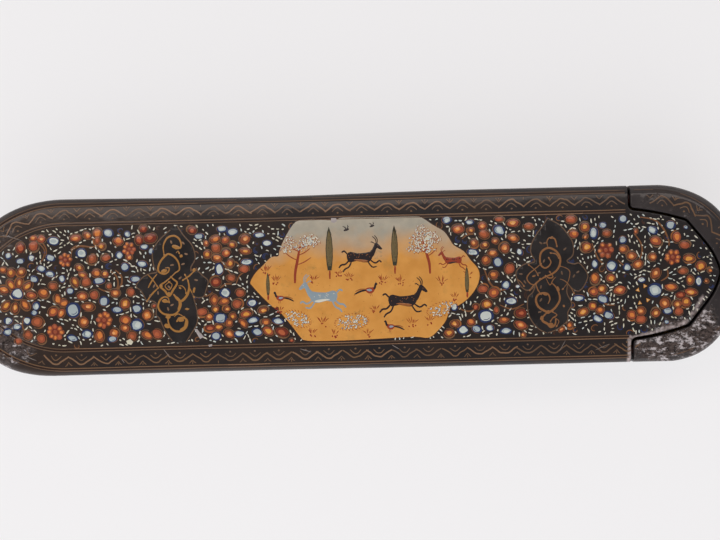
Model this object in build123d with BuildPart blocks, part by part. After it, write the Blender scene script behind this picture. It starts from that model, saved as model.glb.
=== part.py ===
from build123d import *
from math import atan2, degrees
import os

os.makedirs("parts", exist_ok=True)

# A pen box of moulded pasteboard. A drawer slides out of one end of a long case with round ends.
# The head's end is half a circle in plan, and the tail's end is a longer arch of three arcs.
# X runs along the box towards the drawer's head, Y across it, and Z up from the surface it lies on.
# All sizes are in millimetres.

# The outer form
overall_length = 248.0
overall_width = 56.0
overall_height = 42.0
top_crown = 1.0
top_edge_radius = 3.2
base_edge_radius = 2.4
tail_arch = 34.0
tail_tip_radius = 23.0

# The walls, from the outside in
side_wall = 2.4
floor_wall = 2.4
top_wall = 2.4
lining = 0.4
running_gap = 0.3
tray_wall = 2.0
tray_floor = 2.0
tray_rim_radius = 0.7

# The seam, where the case's top runs on as a pointed tongue into the drawer's head
head_length = 36.0
seam_gap = 0.7
tongue_root_half = 20.2
tongue_shoulder_reach = 18.0
tongue_shoulder_half = 16.3
tongue_cusp_reach = 23.4
tongue_cusp_half = 9.6
tongue_reach = 28.2
tongue_side_bow = 0.5
tongue_tip_bow = 0.6
tongue_shoulder_radius = 2.0
tongue_tip_radius = 3.0
tongue_root_radius = 1.2
worn_edge = 0.5

# The drawer's paper lining stops below the rim
lining_drop = 1.2
case_lining_setback = 0.8

# The wall between the pens and the inkwell
partition_thickness = 2.0
partition_height = 20.0
partition_dip = 6.0
partition_dip_half = 13.0
partition_setback = 8.0
partition_edge_radius = 0.6

# The inkwell, which fits the drawer's round end
well_height = 14.0
well_wall = 1.2
well_back_radius = 3.0
well_play = 0.5
well_foot_radius = 0.8
plate_thickness = 1.0
mouth_radius = 5.5
collar_wall = 1.0
collar_height = 1.0
wad_play = 0.6
wad_height = 6.5
wad_edge_radius = 2.0

# The inkwell's lid and hinge
lid_play = 0.1
lid_radius = 7.0
lid_thickness = 0.8
lid_dome = 2.4
dome_radius = 5.6
stopper_play = 0.3
stopper_wall = 0.6
stopper_height = 0.7
lid_tab_reach = 0.8
lid_tab_width = 4.0
knob_pin_radius = 0.6
knob_foot_radius = 1.3
knob_foot_height = 0.5
knob_radius = 1.1
hinge_distance = 8.4
hinge_pin_radius = 0.6
hinge_running_gap = 0.05
knuckle_radius = 1.2
lid_knuckle_length = 3.6
plate_knuckle_length = 2.4
knuckle_gap = 0.2
pin_overhang = 0.3

# Worked out from the sizes above
half_width = overall_width / 2
end_centre = overall_length / 2 - half_width
tail_spring = tail_arch - overall_length / 2
tail_tip_centre = tail_tip_radius - overall_length / 2
tail_run = tail_spring - tail_tip_centre
flank_radius = (tail_run**2 + half_width**2 - tail_tip_radius**2) / (2 * (half_width - tail_tip_radius))
flank_centre = flank_radius - half_width
flank_angle = degrees(atan2(tail_run, flank_centre))
mouth_x = overall_length / 2 - head_length
shoulder_height = overall_height - top_crown
crown_radius = (half_width**2 + top_crown**2) / (2 * top_crown)
ceiling = shoulder_height - top_wall
lining_inset = side_wall + lining
tray_inset = lining_inset + running_gap
tray_bottom = floor_wall + lining + running_gap
tray_top = ceiling - lining - running_gap
tray_inner_inset = tray_inset + tray_wall
tray_floor_top = tray_bottom + tray_floor
compartment_inset = tray_inner_inset + lining
compartment_floor = tray_floor_top + lining
partition_x = mouth_x - partition_setback
well_back = partition_x + partition_thickness / 2 + well_play
compartment_half_width = half_width - compartment_inset
well_radius = compartment_half_width - well_play
well_x = (well_back + end_centre + well_radius) / 2
well_floor = compartment_floor + well_wall
plate_bottom = compartment_floor + well_height - plate_thickness
plate_top = plate_bottom + plate_thickness
collar_radius = mouth_radius + collar_wall
collar_top = plate_top + collar_height
lid_bottom = collar_top + lid_play
lid_top = lid_bottom + lid_thickness
dome_top = lid_top + lid_dome
stopper_radius = mouth_radius - stopper_play
hinge_x = well_x + hinge_distance
hinge_z = (lid_bottom + lid_top) / 2
knuckle_bore = hinge_pin_radius + hinge_running_gap
plate_knuckle_y = lid_knuckle_length / 2 + knuckle_gap + plate_knuckle_length / 2
pin_length = 2 * (plate_knuckle_y + plate_knuckle_length / 2 + pin_overhang)
beyond = 5.0
touch = 0.02


def crowned_section(x):
    """A cross-section at x, wider than the box and lower than its base, under the slightly domed top."""
    with BuildSketch(Plane.YZ.offset(x)) as section:
        with Locations((0, overall_height - crown_radius)):
            Circle(crown_radius)
        Rectangle(overall_width + beyond, 2 * overall_height, mode=Mode.INTERSECT)
    return section.sketch


def plan_outline(height, inset=0.0):
    """The box's plan at a height, drawn in all round."""
    edge = half_width - inset
    with BuildSketch(Plane.XY.offset(height)) as plan:
        with BuildLine():
            Line((tail_spring, edge), (end_centre, edge))
            CenterArc((end_centre, 0), edge, 90, -180)
            Line((end_centre, -edge), (tail_spring, -edge))
            CenterArc((tail_spring, flank_centre), flank_radius - inset, 270, -flank_angle)
            tip_sweep = 180 - 2 * flank_angle
            CenterArc((tail_tip_centre, 0), tail_tip_radius - inset, 270 - flank_angle, -tip_sweep)
            CenterArc((tail_spring, -flank_centre), flank_radius - inset, 90 + flank_angle, -flank_angle)
        make_face()
    return plan.sketch


def in_front_of(x, height, spared=None):
    """A plan, at a height, of all that lies from x on towards the drawer's head, less what is spared."""
    with BuildSketch(Plane.XY.offset(height)) as plan:
        with Locations((x, 0)):
            Rectangle(head_length + beyond, overall_width + beyond, align=(Align.MIN, Align.CENTER))
        if spared:
            add(spared, mode=Mode.SUBTRACT)
    return plan.sketch


def tongue_plan(height, grown=0.0):
    """The tongue's plan at a height: a pointed arch with a small cusp on each side, cut off at the mouth."""
    root = (mouth_x, tongue_root_half)
    shoulder = (mouth_x + tongue_shoulder_reach, tongue_shoulder_half)
    cusp = (mouth_x + tongue_cusp_reach, tongue_cusp_half)
    tip = (mouth_x + tongue_reach, 0)
    with BuildSketch(Plane.XY.offset(height)) as plan:
        with BuildLine():
            Line((mouth_x, 0), root)
            SagittaArc(root, shoulder, tongue_side_bow)
            Line(shoulder, cusp)
            SagittaArc(cusp, tip, tongue_tip_bow)
            mirror(about=Plane.XZ)
        make_face()
        for y in (shoulder[1], -shoulder[1]):
            fillet(plan.vertices().sort_by_distance((shoulder[0], y))[0], tongue_shoulder_radius)
        fillet(plan.vertices().sort_by_distance(tip)[0], tongue_tip_radius)
        if grown:
            offset(amount=grown)
    return plan.sketch


def well_plan(height, inset=0.0):
    """The inkwell's plan at a height, drawn in all round: square behind and round in front."""
    with BuildSketch(Plane.XY.offset(height)) as plan:
        add(plan_outline(0, compartment_inset + well_play + inset))
        with Locations((well_back + inset, 0)):
            Rectangle(overall_length * 2, overall_width, align=(Align.MAX, Align.CENTER), mode=Mode.SUBTRACT)
        fillet(plan.vertices().group_by(Axis.X)[0], well_back_radius - inset)
    return plan.sketch


def worn_edges(piece):
    """The edges where a piece's cut faces meet the outside of the box."""
    skin = outer_form.part.shell()
    cut_faces = piece.faces().filter_by(lambda face: skin.distance_to(face.center()) > touch)
    return cut_faces.edges().filter_by(lambda edge: skin.distance_to(edge.center()) < touch)


def save(piece, name):
    """Names a finished piece and writes its file."""
    piece.label = name
    export_step(piece, f"parts/{name}.step")


# The outside of the whole box
with BuildPart() as outer_form:
    extrude(plan_outline(0), amount=overall_height)
    extrude(crowned_section(-overall_length), amount=2 * overall_length, mode=Mode.INTERSECT)
    fillet(outer_form.faces().sort_by(Axis.Z)[0].edges(), base_edge_radius)
    fillet(outer_form.faces().sort_by(Axis.Z)[-1].edges(), top_edge_radius)

# The case: the box's shell behind the mouth, with the tongue in front of it
with BuildPart() as case_shell:
    add(outer_form.part)
    extrude(plan_outline(floor_wall, side_wall), amount=ceiling - floor_wall, mode=Mode.SUBTRACT)
    extrude(in_front_of(mouth_x, 0), amount=ceiling, mode=Mode.SUBTRACT)
    extrude(in_front_of(mouth_x, ceiling, tongue_plan(0)), amount=overall_height, mode=Mode.SUBTRACT)
    root_edges = [
        case_shell.edges().filter_by(Axis.Z).sort_by_distance((mouth_x, y, shoulder_height))[0]
        for y in (tongue_root_half, -tongue_root_half)
    ]
    fillet(root_edges, tongue_root_radius + seam_gap)
    fillet(worn_edges(case_shell.part), worn_edge)
save(case_shell.part, "case_shell")

# The paper that lines the case
with BuildPart() as case_lining:
    extrude(plan_outline(floor_wall, side_wall), amount=ceiling - floor_wall)
    lining_bottom = floor_wall + lining
    extrude(
        plan_outline(lining_bottom, lining_inset),
        amount=ceiling - lining - lining_bottom,
        mode=Mode.SUBTRACT,
    )
    extrude(in_front_of(mouth_x - case_lining_setback, 0), amount=overall_height, mode=Mode.SUBTRACT)
save(case_lining.part, "case_lining")

# The drawer's head: the front end of the shell, cut out to take the tongue
with BuildPart() as drawer_head:
    add(outer_form.part)
    with BuildSketch(Plane.XY):
        with Locations((mouth_x + seam_gap, 0)):
            Rectangle(overall_length, overall_width + beyond, align=(Align.MAX, Align.CENTER))
    extrude(amount=overall_height + beyond, mode=Mode.SUBTRACT)
    extrude(plan_outline(tray_bottom, tray_inset), amount=tray_top - tray_bottom, mode=Mode.SUBTRACT)
    extrude(tongue_plan(tray_top, seam_gap), amount=overall_height, mode=Mode.SUBTRACT)
    root_edges = [
        drawer_head.edges()
        .filter_by(Axis.Z)
        .sort_by_distance((mouth_x + seam_gap, y, shoulder_height))[0]
        for y in (tongue_root_half + seam_gap, -tongue_root_half - seam_gap)
    ]
    fillet(root_edges, tongue_root_radius)
    fillet(worn_edges(drawer_head.part), worn_edge)
save(drawer_head.part, "drawer_head")

# The drawer's tray
with BuildPart() as drawer_tray:
    extrude(plan_outline(tray_bottom, tray_inset), amount=tray_top - tray_bottom)
    extrude(
        plan_outline(tray_floor_top, tray_inner_inset),
        amount=tray_top - tray_floor_top,
        mode=Mode.SUBTRACT,
    )
    rim = drawer_tray.faces().sort_by(Axis.Z)[-1]
    fillet(rim.inner_wires()[0].edges(), tray_rim_radius)
save(drawer_tray.part, "drawer_tray")

# The paper that lines the drawer
with BuildPart() as drawer_lining:
    lining_top = tray_top - lining_drop
    extrude(plan_outline(tray_floor_top, tray_inner_inset), amount=lining_top - tray_floor_top)
    extrude(
        plan_outline(compartment_floor, compartment_inset),
        amount=lining_top - compartment_floor,
        mode=Mode.SUBTRACT,
    )
save(drawer_lining.part, "drawer_lining")

# The wall between the pens and the inkwell, dipped in the middle for the fingers
with BuildPart() as ink_partition:
    with BuildSketch(Plane.YZ.offset(partition_x - partition_thickness / 2)):
        with BuildLine():
            top = compartment_floor + partition_height
            dip_ends = [(-partition_dip_half, top), (partition_dip_half, top)]
            Polyline(
                dip_ends[0],
                (-compartment_half_width, top),
                (-compartment_half_width, compartment_floor),
                (compartment_half_width, compartment_floor),
                (compartment_half_width, top),
                dip_ends[1],
            )
            ThreePointArc(dip_ends[1], (0, top - partition_dip), dip_ends[0])
        make_face()
    extrude(amount=partition_thickness)
    brim = ink_partition.edges().filter_by(lambda e: e.center().Z > top - partition_dip * 0.9)
    fillet(brim.filter_by(Axis.X, reverse=True).filter_by(Axis.Z, reverse=True), partition_edge_radius)
save(ink_partition.part, "ink_partition")

# The inkwell's cup
with BuildPart() as inkwell_body:
    extrude(well_plan(compartment_floor), amount=plate_bottom - compartment_floor)
    fillet(inkwell_body.faces().sort_by(Axis.Z)[0].edges(), well_foot_radius)
    extrude(well_plan(well_floor, well_wall), amount=plate_bottom - well_floor, mode=Mode.SUBTRACT)
save(inkwell_body.part, "inkwell_body")

# The silk wad that holds the ink
with BuildPart() as ink_wad:
    extrude(well_plan(well_floor, well_wall + wad_play), amount=wad_height)
    fillet(ink_wad.faces().sort_by(Axis.Z)[-1].edges(), wad_edge_radius)
save(ink_wad.part, "ink_wad")

# The inkwell's top plate, with the collar of its mouth and the two fixed knuckles of the hinge
with BuildPart() as inkwell_top:
    extrude(well_plan(plate_bottom), amount=plate_thickness)
    with BuildSketch(Plane.XY.offset(plate_top)):
        with Locations((well_x, 0)):
            Circle(collar_radius)
    extrude(amount=collar_height)
    for y in (plate_knuckle_y, -plate_knuckle_y):
        with BuildSketch(Plane.XZ.offset(-y)):
            with Locations((hinge_x, hinge_z)):
                Circle(knuckle_radius)
            with Locations((hinge_x, plate_top)):
                Rectangle(2 * knuckle_radius, hinge_z - plate_top, align=(Align.CENTER, Align.MIN))
        extrude(amount=plate_knuckle_length / 2, both=True)
    with BuildSketch(Plane.XZ):
        with Locations((hinge_x, hinge_z)):
            Circle(hinge_pin_radius)
    extrude(amount=pin_length / 2, both=True, mode=Mode.SUBTRACT)
    with BuildSketch(Plane.XY.offset(plate_bottom)):
        with Locations((well_x, 0)):
            Circle(mouth_radius)
    extrude(amount=collar_top - plate_bottom, mode=Mode.SUBTRACT)
save(inkwell_top.part, "inkwell_top")

# The inkwell's lid: a thin dome with a stopper ring under it, a finger tab and the middle knuckle
with BuildPart() as inkwell_lid:
    with BuildSketch(Plane.XZ):
        with BuildLine():
            ring = well_x + stopper_radius
            Line((well_x, dome_top), (well_x, dome_top - lid_thickness))
            TangentArc(
                (well_x, dome_top - lid_thickness), (ring - stopper_wall, lid_bottom), tangent=(1, 0)
            )
            Polyline(
                (ring - stopper_wall, lid_bottom),
                (ring - stopper_wall, lid_bottom - stopper_height),
                (ring, lid_bottom - stopper_height),
                (ring, lid_bottom),
                (well_x + lid_radius, lid_bottom),
                (well_x + lid_radius, lid_top),
                (well_x + dome_radius, lid_top),
            )
            TangentArc((well_x, dome_top), (well_x + dome_radius, lid_top), tangent=(1, 0))
        make_face()
    revolve(axis=Axis((well_x, 0, 0), (0, 0, 1)))
    with BuildSketch(Plane.XY.offset(lid_bottom)):
        with Locations((well_x - lid_radius - lid_tab_reach, 0)):
            tab_length = lid_tab_reach + lid_radius - dome_radius
            Rectangle(tab_length, lid_tab_width, align=(Align.MIN, Align.CENTER))
        with Locations((hinge_x, 0)):
            Rectangle(hinge_x - well_x - dome_radius, lid_knuckle_length, align=(Align.MAX, Align.CENTER))
    extrude(amount=lid_thickness)
    with BuildSketch(Plane.XZ):
        with Locations((hinge_x, hinge_z)):
            Circle(knuckle_radius)
    extrude(amount=lid_knuckle_length / 2, both=True)
    with BuildSketch(Plane.XZ):
        with Locations((hinge_x, hinge_z)):
            Circle(knuckle_bore)
    extrude(amount=lid_knuckle_length / 2, both=True, mode=Mode.SUBTRACT)
    with BuildSketch(Plane.XY.offset(lid_bottom)):
        with Locations((well_x, 0)):
            Circle(knob_pin_radius)
    extrude(amount=dome_top, mode=Mode.SUBTRACT)
save(inkwell_lid.part, "inkwell_lid")

# The knob on the lid, riveted through the dome's top
with BuildPart() as inkwell_knob:
    with BuildSketch(Plane.XZ):
        with BuildLine():
            foot_top = dome_top + knob_foot_height
            knob_centre = foot_top + (knob_radius**2 - knob_pin_radius**2) ** 0.5
            knob_top = knob_centre + knob_radius
            Polyline(
                (well_x, knob_top),
                (well_x, dome_top - lid_thickness),
                (well_x + knob_pin_radius, dome_top - lid_thickness),
                (well_x + knob_pin_radius, dome_top),
                (well_x + knob_foot_radius, dome_top),
                (well_x + knob_pin_radius, foot_top),
            )
            ThreePointArc(
                (well_x + knob_pin_radius, foot_top),
                (well_x + knob_radius, knob_centre),
                (well_x, knob_top),
            )
        make_face()
    revolve(axis=Axis((well_x, 0, 0), (0, 0, 1)))
save(inkwell_knob.part, "inkwell_knob")

# The pin through the hinge
with BuildPart() as inkwell_hinge_pin:
    with BuildSketch(Plane.XZ):
        with Locations((hinge_x, hinge_z)):
            Circle(hinge_pin_radius)
    extrude(amount=pin_length / 2, both=True)
save(inkwell_hinge_pin.part, "inkwell_hinge_pin")
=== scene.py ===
# The looks of a lacquered pasteboard pen box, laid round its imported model.
# X runs along the box towards the drawer's head, Y across it and Z up.
# Sizes are in millimetres, and pixels are the photograph's at 720 by 540.
from math import atan2, cos, exp, hypot, pi, radians, sin, sqrt, tau
from random import Random

import bmesh
import bpy
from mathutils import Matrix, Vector, noise
from mathutils.bvhtree import BVHTree


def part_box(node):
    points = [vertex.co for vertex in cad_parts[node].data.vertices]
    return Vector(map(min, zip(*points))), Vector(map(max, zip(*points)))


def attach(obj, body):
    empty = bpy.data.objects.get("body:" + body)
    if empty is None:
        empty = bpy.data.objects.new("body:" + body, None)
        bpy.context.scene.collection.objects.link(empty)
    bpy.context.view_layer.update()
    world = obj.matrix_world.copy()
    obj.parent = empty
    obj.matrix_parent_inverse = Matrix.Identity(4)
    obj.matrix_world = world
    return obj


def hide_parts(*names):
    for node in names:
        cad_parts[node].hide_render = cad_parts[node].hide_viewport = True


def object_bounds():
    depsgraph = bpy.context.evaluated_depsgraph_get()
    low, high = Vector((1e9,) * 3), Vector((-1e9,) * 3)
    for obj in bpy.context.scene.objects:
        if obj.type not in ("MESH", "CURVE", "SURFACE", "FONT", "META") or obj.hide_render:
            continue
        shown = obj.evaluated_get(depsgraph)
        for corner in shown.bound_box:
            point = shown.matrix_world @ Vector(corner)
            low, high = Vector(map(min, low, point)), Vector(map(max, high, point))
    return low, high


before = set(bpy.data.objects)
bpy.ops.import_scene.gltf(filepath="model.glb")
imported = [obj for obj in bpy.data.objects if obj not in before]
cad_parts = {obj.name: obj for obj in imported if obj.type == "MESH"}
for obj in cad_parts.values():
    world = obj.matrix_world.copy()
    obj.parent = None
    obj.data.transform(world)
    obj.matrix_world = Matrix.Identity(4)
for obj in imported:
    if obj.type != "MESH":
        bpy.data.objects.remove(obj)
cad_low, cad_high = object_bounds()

MM = 0.001

# The seeds of the random draws
TOP_SEED = 7
SIDE_SEED = 19
WAD_SEED = 41

# The box's outer form, as the model has it
LENGTH = (cad_high.x - cad_low.x) / MM
HALF_WIDTH = (cad_high.y - cad_low.y) / 2 / MM
HEIGHT = (cad_high.z - cad_low.z) / MM
TOP_CROWN = 1.0
TOP_EDGE_RADIUS = 3.2
BASE_EDGE_RADIUS = 2.4
TAIL_ARCH = 34.0
TAIL_TIP_RADIUS = 23.0
SEAM_GAP = 0.7
CROWN_RADIUS = (HALF_WIDTH**2 + TOP_CROWN**2) / (2 * TOP_CROWN)
HEAD_CENTRE = LENGTH / 2 - HALF_WIDTH
TAIL_SPRING = TAIL_ARCH - LENGTH / 2
TAIL_TIP_CENTRE = TAIL_TIP_RADIUS - LENGTH / 2
TAIL_RUN = TAIL_SPRING - TAIL_TIP_CENTRE
FLANK_RADIUS = (TAIL_RUN**2 + HALF_WIDTH**2 - TAIL_TIP_RADIUS**2) / (2 * (HALF_WIDTH - TAIL_TIP_RADIUS))
FLANK_CENTRE = FLANK_RADIUS - HALF_WIDTH
FLANK_ANGLE = atan2(TAIL_RUN, FLANK_CENTRE)
MOUTH_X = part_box("drawer_head")[0].x / MM - SEAM_GAP

# The camera: straight above, turned a little against the box
AIM = Vector((3.2, 3.25))
TURN = radians(1.38)
LENS = 85.0
SENSOR = 36.0
VIEW_WIDTH = 225.9
PICTURE_WIDTH = 720
PICTURE_HEIGHT = 540
PIXEL = VIEW_WIDTH / PICTURE_WIDTH


def make_camera():
    """The camera that sees VIEW_WIDTH of the box's top across the picture."""
    data = bpy.data.cameras.new("camera")
    data.lens = LENS
    data.sensor_width = SENSOR
    camera = bpy.data.objects.new("camera", data)
    rise = VIEW_WIDTH * LENS / SENSOR
    camera.location = Vector((AIM.x, AIM.y, HEIGHT + rise)) * MM
    camera.rotation_euler = (0, 0, -TURN)
    bpy.context.scene.collection.objects.link(camera)
    bpy.context.scene.camera = camera


def on_box(px, py):
    """Where a pixel of the photograph lies on the box's top."""
    right = (px - PICTURE_WIDTH / 2) * PIXEL
    up = (PICTURE_HEIGHT / 2 - py) * PIXEL
    return Vector((AIM.x + right * cos(TURN) + up * sin(TURN), AIM.y - right * sin(TURN) + up * cos(TURN)))


def turned(x, y, angle):
    """A vector in plan, turned by an angle."""
    return Vector((x * cos(angle) - y * sin(angle), x * sin(angle) + y * cos(angle)))


# The outer form as formulas

def side_depth(x, y):
    """How deep a point lies inside the plan outline, and the way straight out from there."""
    if x >= HEAD_CENTRE:
        out = Vector((x - HEAD_CENTRE, y))
        return HALF_WIDTH - out.length, out.normalized()
    side = 1 if y > 0 else -1
    if x >= TAIL_SPRING:
        return HALF_WIDTH - abs(y), Vector((0, side))
    out = Vector((x - TAIL_SPRING, y + side * FLANK_CENTRE))
    if atan2(-out.x, abs(out.y)) < FLANK_ANGLE:
        return FLANK_RADIUS - out.length, out.normalized()
    out = Vector((x - TAIL_TIP_CENTRE, y))
    return TAIL_TIP_RADIUS - out.length, out.normalized()


def skin_depth(p):
    """How deep a point lies under the box's outside, and the way straight out from there."""
    side, plan_way = side_depth(p.x, p.y)
    out = Vector((plan_way.x, plan_way.y, 0))
    up = Vector((0, p.y / CROWN_RADIUS, 1)).normalized()
    down = Vector((0, 0, -1))
    top = HEIGHT - CROWN_RADIUS + sqrt(CROWN_RADIUS**2 - p.y**2) - p.z
    for radius, depth, way in ((TOP_EDGE_RADIUS, top, up), (BASE_EDGE_RADIUS, p.z, down)):
        if side < radius and depth < radius:
            lean = out * (radius - side) + way * (radius - depth)
            return radius - hypot(radius - side, radius - depth), lean.normalized()
    return min((side, out), (top, up), (p.z, down), key=lambda pair: pair[0])


# The path round the box, measured along the middle of the painted border
BORDER_INSET = 5.2


def straight_span(start_x, end_x, side):
    """A straight part of the path round the box."""
    def at(part, inset):
        return Vector((start_x + part * (end_x - start_x), side * (HALF_WIDTH - inset))), Vector((0, side))
    return abs(end_x - start_x), at


def round_span(centre_x, centre_y, radius, start, sweep):
    """A part of the path round the box on an arc, anticlockwise."""
    def at(part, inset):
        out = Vector((cos(start + part * sweep), sin(start + part * sweep)))
        return Vector((centre_x, centre_y)) + out * (radius - inset), out
    return sweep * (radius - BORDER_INSET), at


RIM_SPANS = [
    straight_span(HEAD_CENTRE, TAIL_SPRING, 1),
    round_span(TAIL_SPRING, -FLANK_CENTRE, FLANK_RADIUS, pi / 2, FLANK_ANGLE),
    round_span(TAIL_TIP_CENTRE, 0, TAIL_TIP_RADIUS, pi / 2 + FLANK_ANGLE, pi - 2 * FLANK_ANGLE),
    round_span(TAIL_SPRING, FLANK_CENTRE, FLANK_RADIUS, 3 * pi / 2 - FLANK_ANGLE, FLANK_ANGLE),
    straight_span(TAIL_SPRING, HEAD_CENTRE, -1),
    round_span(HEAD_CENTRE, 0, HALF_WIDTH, -pi / 2, pi),
]
RIM_LENGTH = sum(length for length, at in RIM_SPANS)


def rim(run, inset):
    """The point that far along the path round the box, drawn in, and the way out from there."""
    run %= RIM_LENGTH
    for length, at in RIM_SPANS:
        if run <= length:
            return at(run / length, inset)
        run -= length
    return at(1, inset)


# Places on the box that are rubbed bare: middle, half sizes, how strongly
WORN_PLACES = [
    (on_box(14, 342), (9.0, 8.0), 0.82),
    (on_box(688, 336), (13.0, 5.5), 1.2),
    (on_box(660, 350), (9.0, 4.5), 1.1),
    (on_box(706, 322), (5.0, 7.0), 0.9),
    (on_box(712, 255), (2.5, 9.0), 0.4),
    (on_box(690, 212), (7.0, 3.0), 0.3),
    (on_box(650, 196), (6.0, 3.0), 0.25),
    (on_box(4, 236), (4.0, 5.0), 0.45),
    (on_box(4, 356), (8.0, 5.0), 0.7),
]

# Pale bands: a painted highlight along the tongue's lower edge, wear along the mouth's: reach, how strongly,
# and pixels
RUBBED_AND_SHEEN_EDGES = [
    (0.75, 1.05, [(633, 338), (644, 335), (658, 331), (672, 327), (686, 322), (691, 315), (697, 307),
                  (703, 297)]),
    (0.7, 1.3, [(630, 337), (630, 362)]),
]


def edge_wear_and_sheen(x, y):
    """How pale a place is near the tongue's lower edge (painted highlight) and the mouth's (rubbed)."""
    point = Vector((x, y))
    most = 0.0
    for reach, amount, pixels in RUBBED_AND_SHEEN_EDGES:
        for start, end in zip(pixels, pixels[1:]):
            a, b = on_box(*start), on_box(*end)
            part = min(1.0, max(0.0, (point - a).dot(b - a) / (b - a).length_squared))
            away = (point - a.lerp(b, part)).length
            if away < 4 * reach:
                most = max(most, amount * exp(-((away / reach) ** 2)))
    return most


def wear(x, y):
    """How worn the top is at a place, from 0 up."""
    return max(
        amount * exp(-(((x - middle.x) / half[0]) ** 2) - ((y - middle.y) / half[1]) ** 2)
        for middle, half, amount in WORN_PLACES
    )


# The two shells, cut fine and made uneven as handwork is
SKIN_STEP = 2.0
SKIN_CATCH = 0.08
SKIN_FADE = 2.2
FINE_STEPS = [1.4, 0.75]
FINE_BAND = 6.0
LEAST_RUBBED = 0.08
WELD = 0.002
FLAT_ANGLE = 0.4
CREASE = 32
WAIST_X = -28.0
WAIST_REACH = 40.0
WAIST_DEPTHS = {1: 0.8, -1: 0.2}
LEAST_INSET = 0.03
BOX_MARGIN = 0.14
SLOW_WAVE = 38.0
QUICK_WAVE = 13.0
LUMP = 2.6

# Fuller corners than the true form's: middle, reach, and how far they stand out
FULL_CORNERS = [
    (on_box(0, 366), 13.0, 1.9),
    (on_box(2, 212), 10.0, 0.45),
    (on_box(706, 352), 11.0, 1.1),
    (on_box(716, 205), 11.0, 0.7),
]


def drawn_in(p, way):
    """How far the handmade skin stands back from the true form at a place."""
    waist = WAIST_DEPTHS[1 if p.y > 0 else -1] * exp(-(((p.x - WAIST_X) / WAIST_REACH) ** 2))
    slow = 0.5 + 0.5 * noise.noise(p / SLOW_WAVE)
    quick = 0.5 + 0.5 * noise.noise(p / QUICK_WAVE + Vector((7, 3, 5)))
    sideways = LEAST_INSET + 0.1 * slow + 0.05 * quick + waist
    for middle, reach, amount in FULL_CORNERS:
        sideways -= amount * exp(-(((Vector((p.x, p.y)) - middle).length / reach) ** 2))
    upright = 0.16 + 0.16 * slow + 0.05 * quick if way.z > 0 else 0.02 + 0.05 * quick
    lump = 0
    if way.z > 0.1:
        rubbed = min(1.0, wear(p.x, p.y))
        lump = rubbed * (0.18 + 0.2 * noise.noise(p / LUMP) + 0.12 * noise.noise(p / (LUMP / 2)))
    return sideways * (1 - way.z**2) + upright * way.z**2 + max(0.0, lump)


def form_of(node):
    """A welded copy of a node's mesh, in millimetres."""
    form = bmesh.new()
    form.from_mesh(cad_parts[node].data)
    bmesh.ops.scale(form, vec=Vector((1, 1, 1)) / MM, verts=form.verts)
    bmesh.ops.remove_doubles(form, verts=form.verts, dist=WELD)
    return form


def cut_across(form, axis, low, high, step, nearness=1e-4):
    """Cuts a form by evenly spaced planes across one axis."""
    normal = Vector([float(axis == other) for other in range(3)])
    place = low[axis] + step / 2
    while place < high[axis]:
        everything = form.verts[:] + form.edges[:] + form.faces[:]
        bmesh.ops.bisect_plane(form, geom=everything, plane_co=normal * place, plane_no=normal, dist=nearness)
        place += step


def cut_fine(form, step):
    """Halves the long edges where the top is rubbed or has the painted edge highlight, so that these have
    room for their shapes.
    """
    long_ones = []
    for edge in form.edges:
        middle = (edge.verts[0].co + edge.verts[1].co) / 2
        if edge.calc_length() < step or middle.z < HEIGHT - FINE_BAND or skin_depth(middle)[0] >= SKIN_CATCH:
            continue
        if max(wear(middle.x, middle.y), edge_wear_and_sheen(middle.x, middle.y)) > LEAST_RUBBED:
            long_ones.append(edge)
    bmesh.ops.subdivide_edges(form, edges=long_ones, cuts=1, use_grid_fill=True)


def make_skin(node):
    """A copy of a shell with its outside cut fine, drawn in a little and marked with its wear and its painted
    edge highlight.
    """
    form = form_of(node)
    bmesh.ops.dissolve_limit(form, angle_limit=radians(FLAT_ANGLE), verts=form.verts, edges=form.edges)
    low, high = (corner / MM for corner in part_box(node))
    for axis in range(3):
        cut_across(form, axis, low, high, SKIN_STEP)
    for step in FINE_STEPS:
        cut_fine(form, step)
    worn = form.verts.layers.float.new("wear")
    pale = form.verts.layers.float.new("pale")
    furthest, widest = LENGTH / 2 - BOX_MARGIN, HALF_WIDTH - BOX_MARGIN
    for vertex in form.verts:
        depth, way = skin_depth(vertex.co)
        if depth > SKIN_FADE:
            continue
        if depth < SKIN_CATCH:
            vertex.co += way * depth
            vertex[worn] = wear(vertex.co.x, vertex.co.y) if way.z > 0 else 0.0
            # The pale band: a painted highlight along the tongue's lower edge, and rubbing along the mouth's
            vertex[pale] = edge_wear_and_sheen(vertex.co.x, vertex.co.y) if way.z > 0 else 0.0
        vertex.co -= way * drawn_in(vertex.co, way) * (1 - max(depth, 0) / SKIN_FADE)
        x, y, z = vertex.co
        vertex.co = (max(-furthest, min(furthest, x)), max(-widest, min(widest, y)), max(0.0, z))
    bmesh.ops.triangulate(form, faces=[face for face in form.faces if len(face.verts) > 4])
    return form


def mesh_from(form, name):
    """A mesh in metres from a form in millimetres."""
    mesh = bpy.data.meshes.new(name)
    bmesh.ops.scale(form, vec=Vector((1, 1, 1)) * MM, verts=form.verts)
    form.to_mesh(mesh)
    form.free()
    return mesh


def add_piece(name, mesh, body, material, replaced=None, crease=None):
    """A piece of the visual model that rides on a body and takes a material."""
    piece = bpy.data.objects.new(name, mesh)
    bpy.context.scene.collection.objects.link(piece)
    mesh.materials.clear()
    mesh.materials.append(material)
    mesh.polygons.foreach_set("use_smooth", [True] * len(mesh.polygons))
    if crease:
        mesh.set_sharp_from_angle(angle=radians(crease))
    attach(piece, body)
    if replaced:
        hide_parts(replaced)


# Materials

def linear(code):
    """A colour from six hexadecimal digits, in the numbers that shaders take."""
    parts = [int(code[place:place + 2], 16) / 255 for place in (0, 2, 4)]
    return (*(c / 12.92 if c <= 0.04045 else ((c + 0.055) / 1.055) ** 2.4 for c in parts), 1.0)


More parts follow.
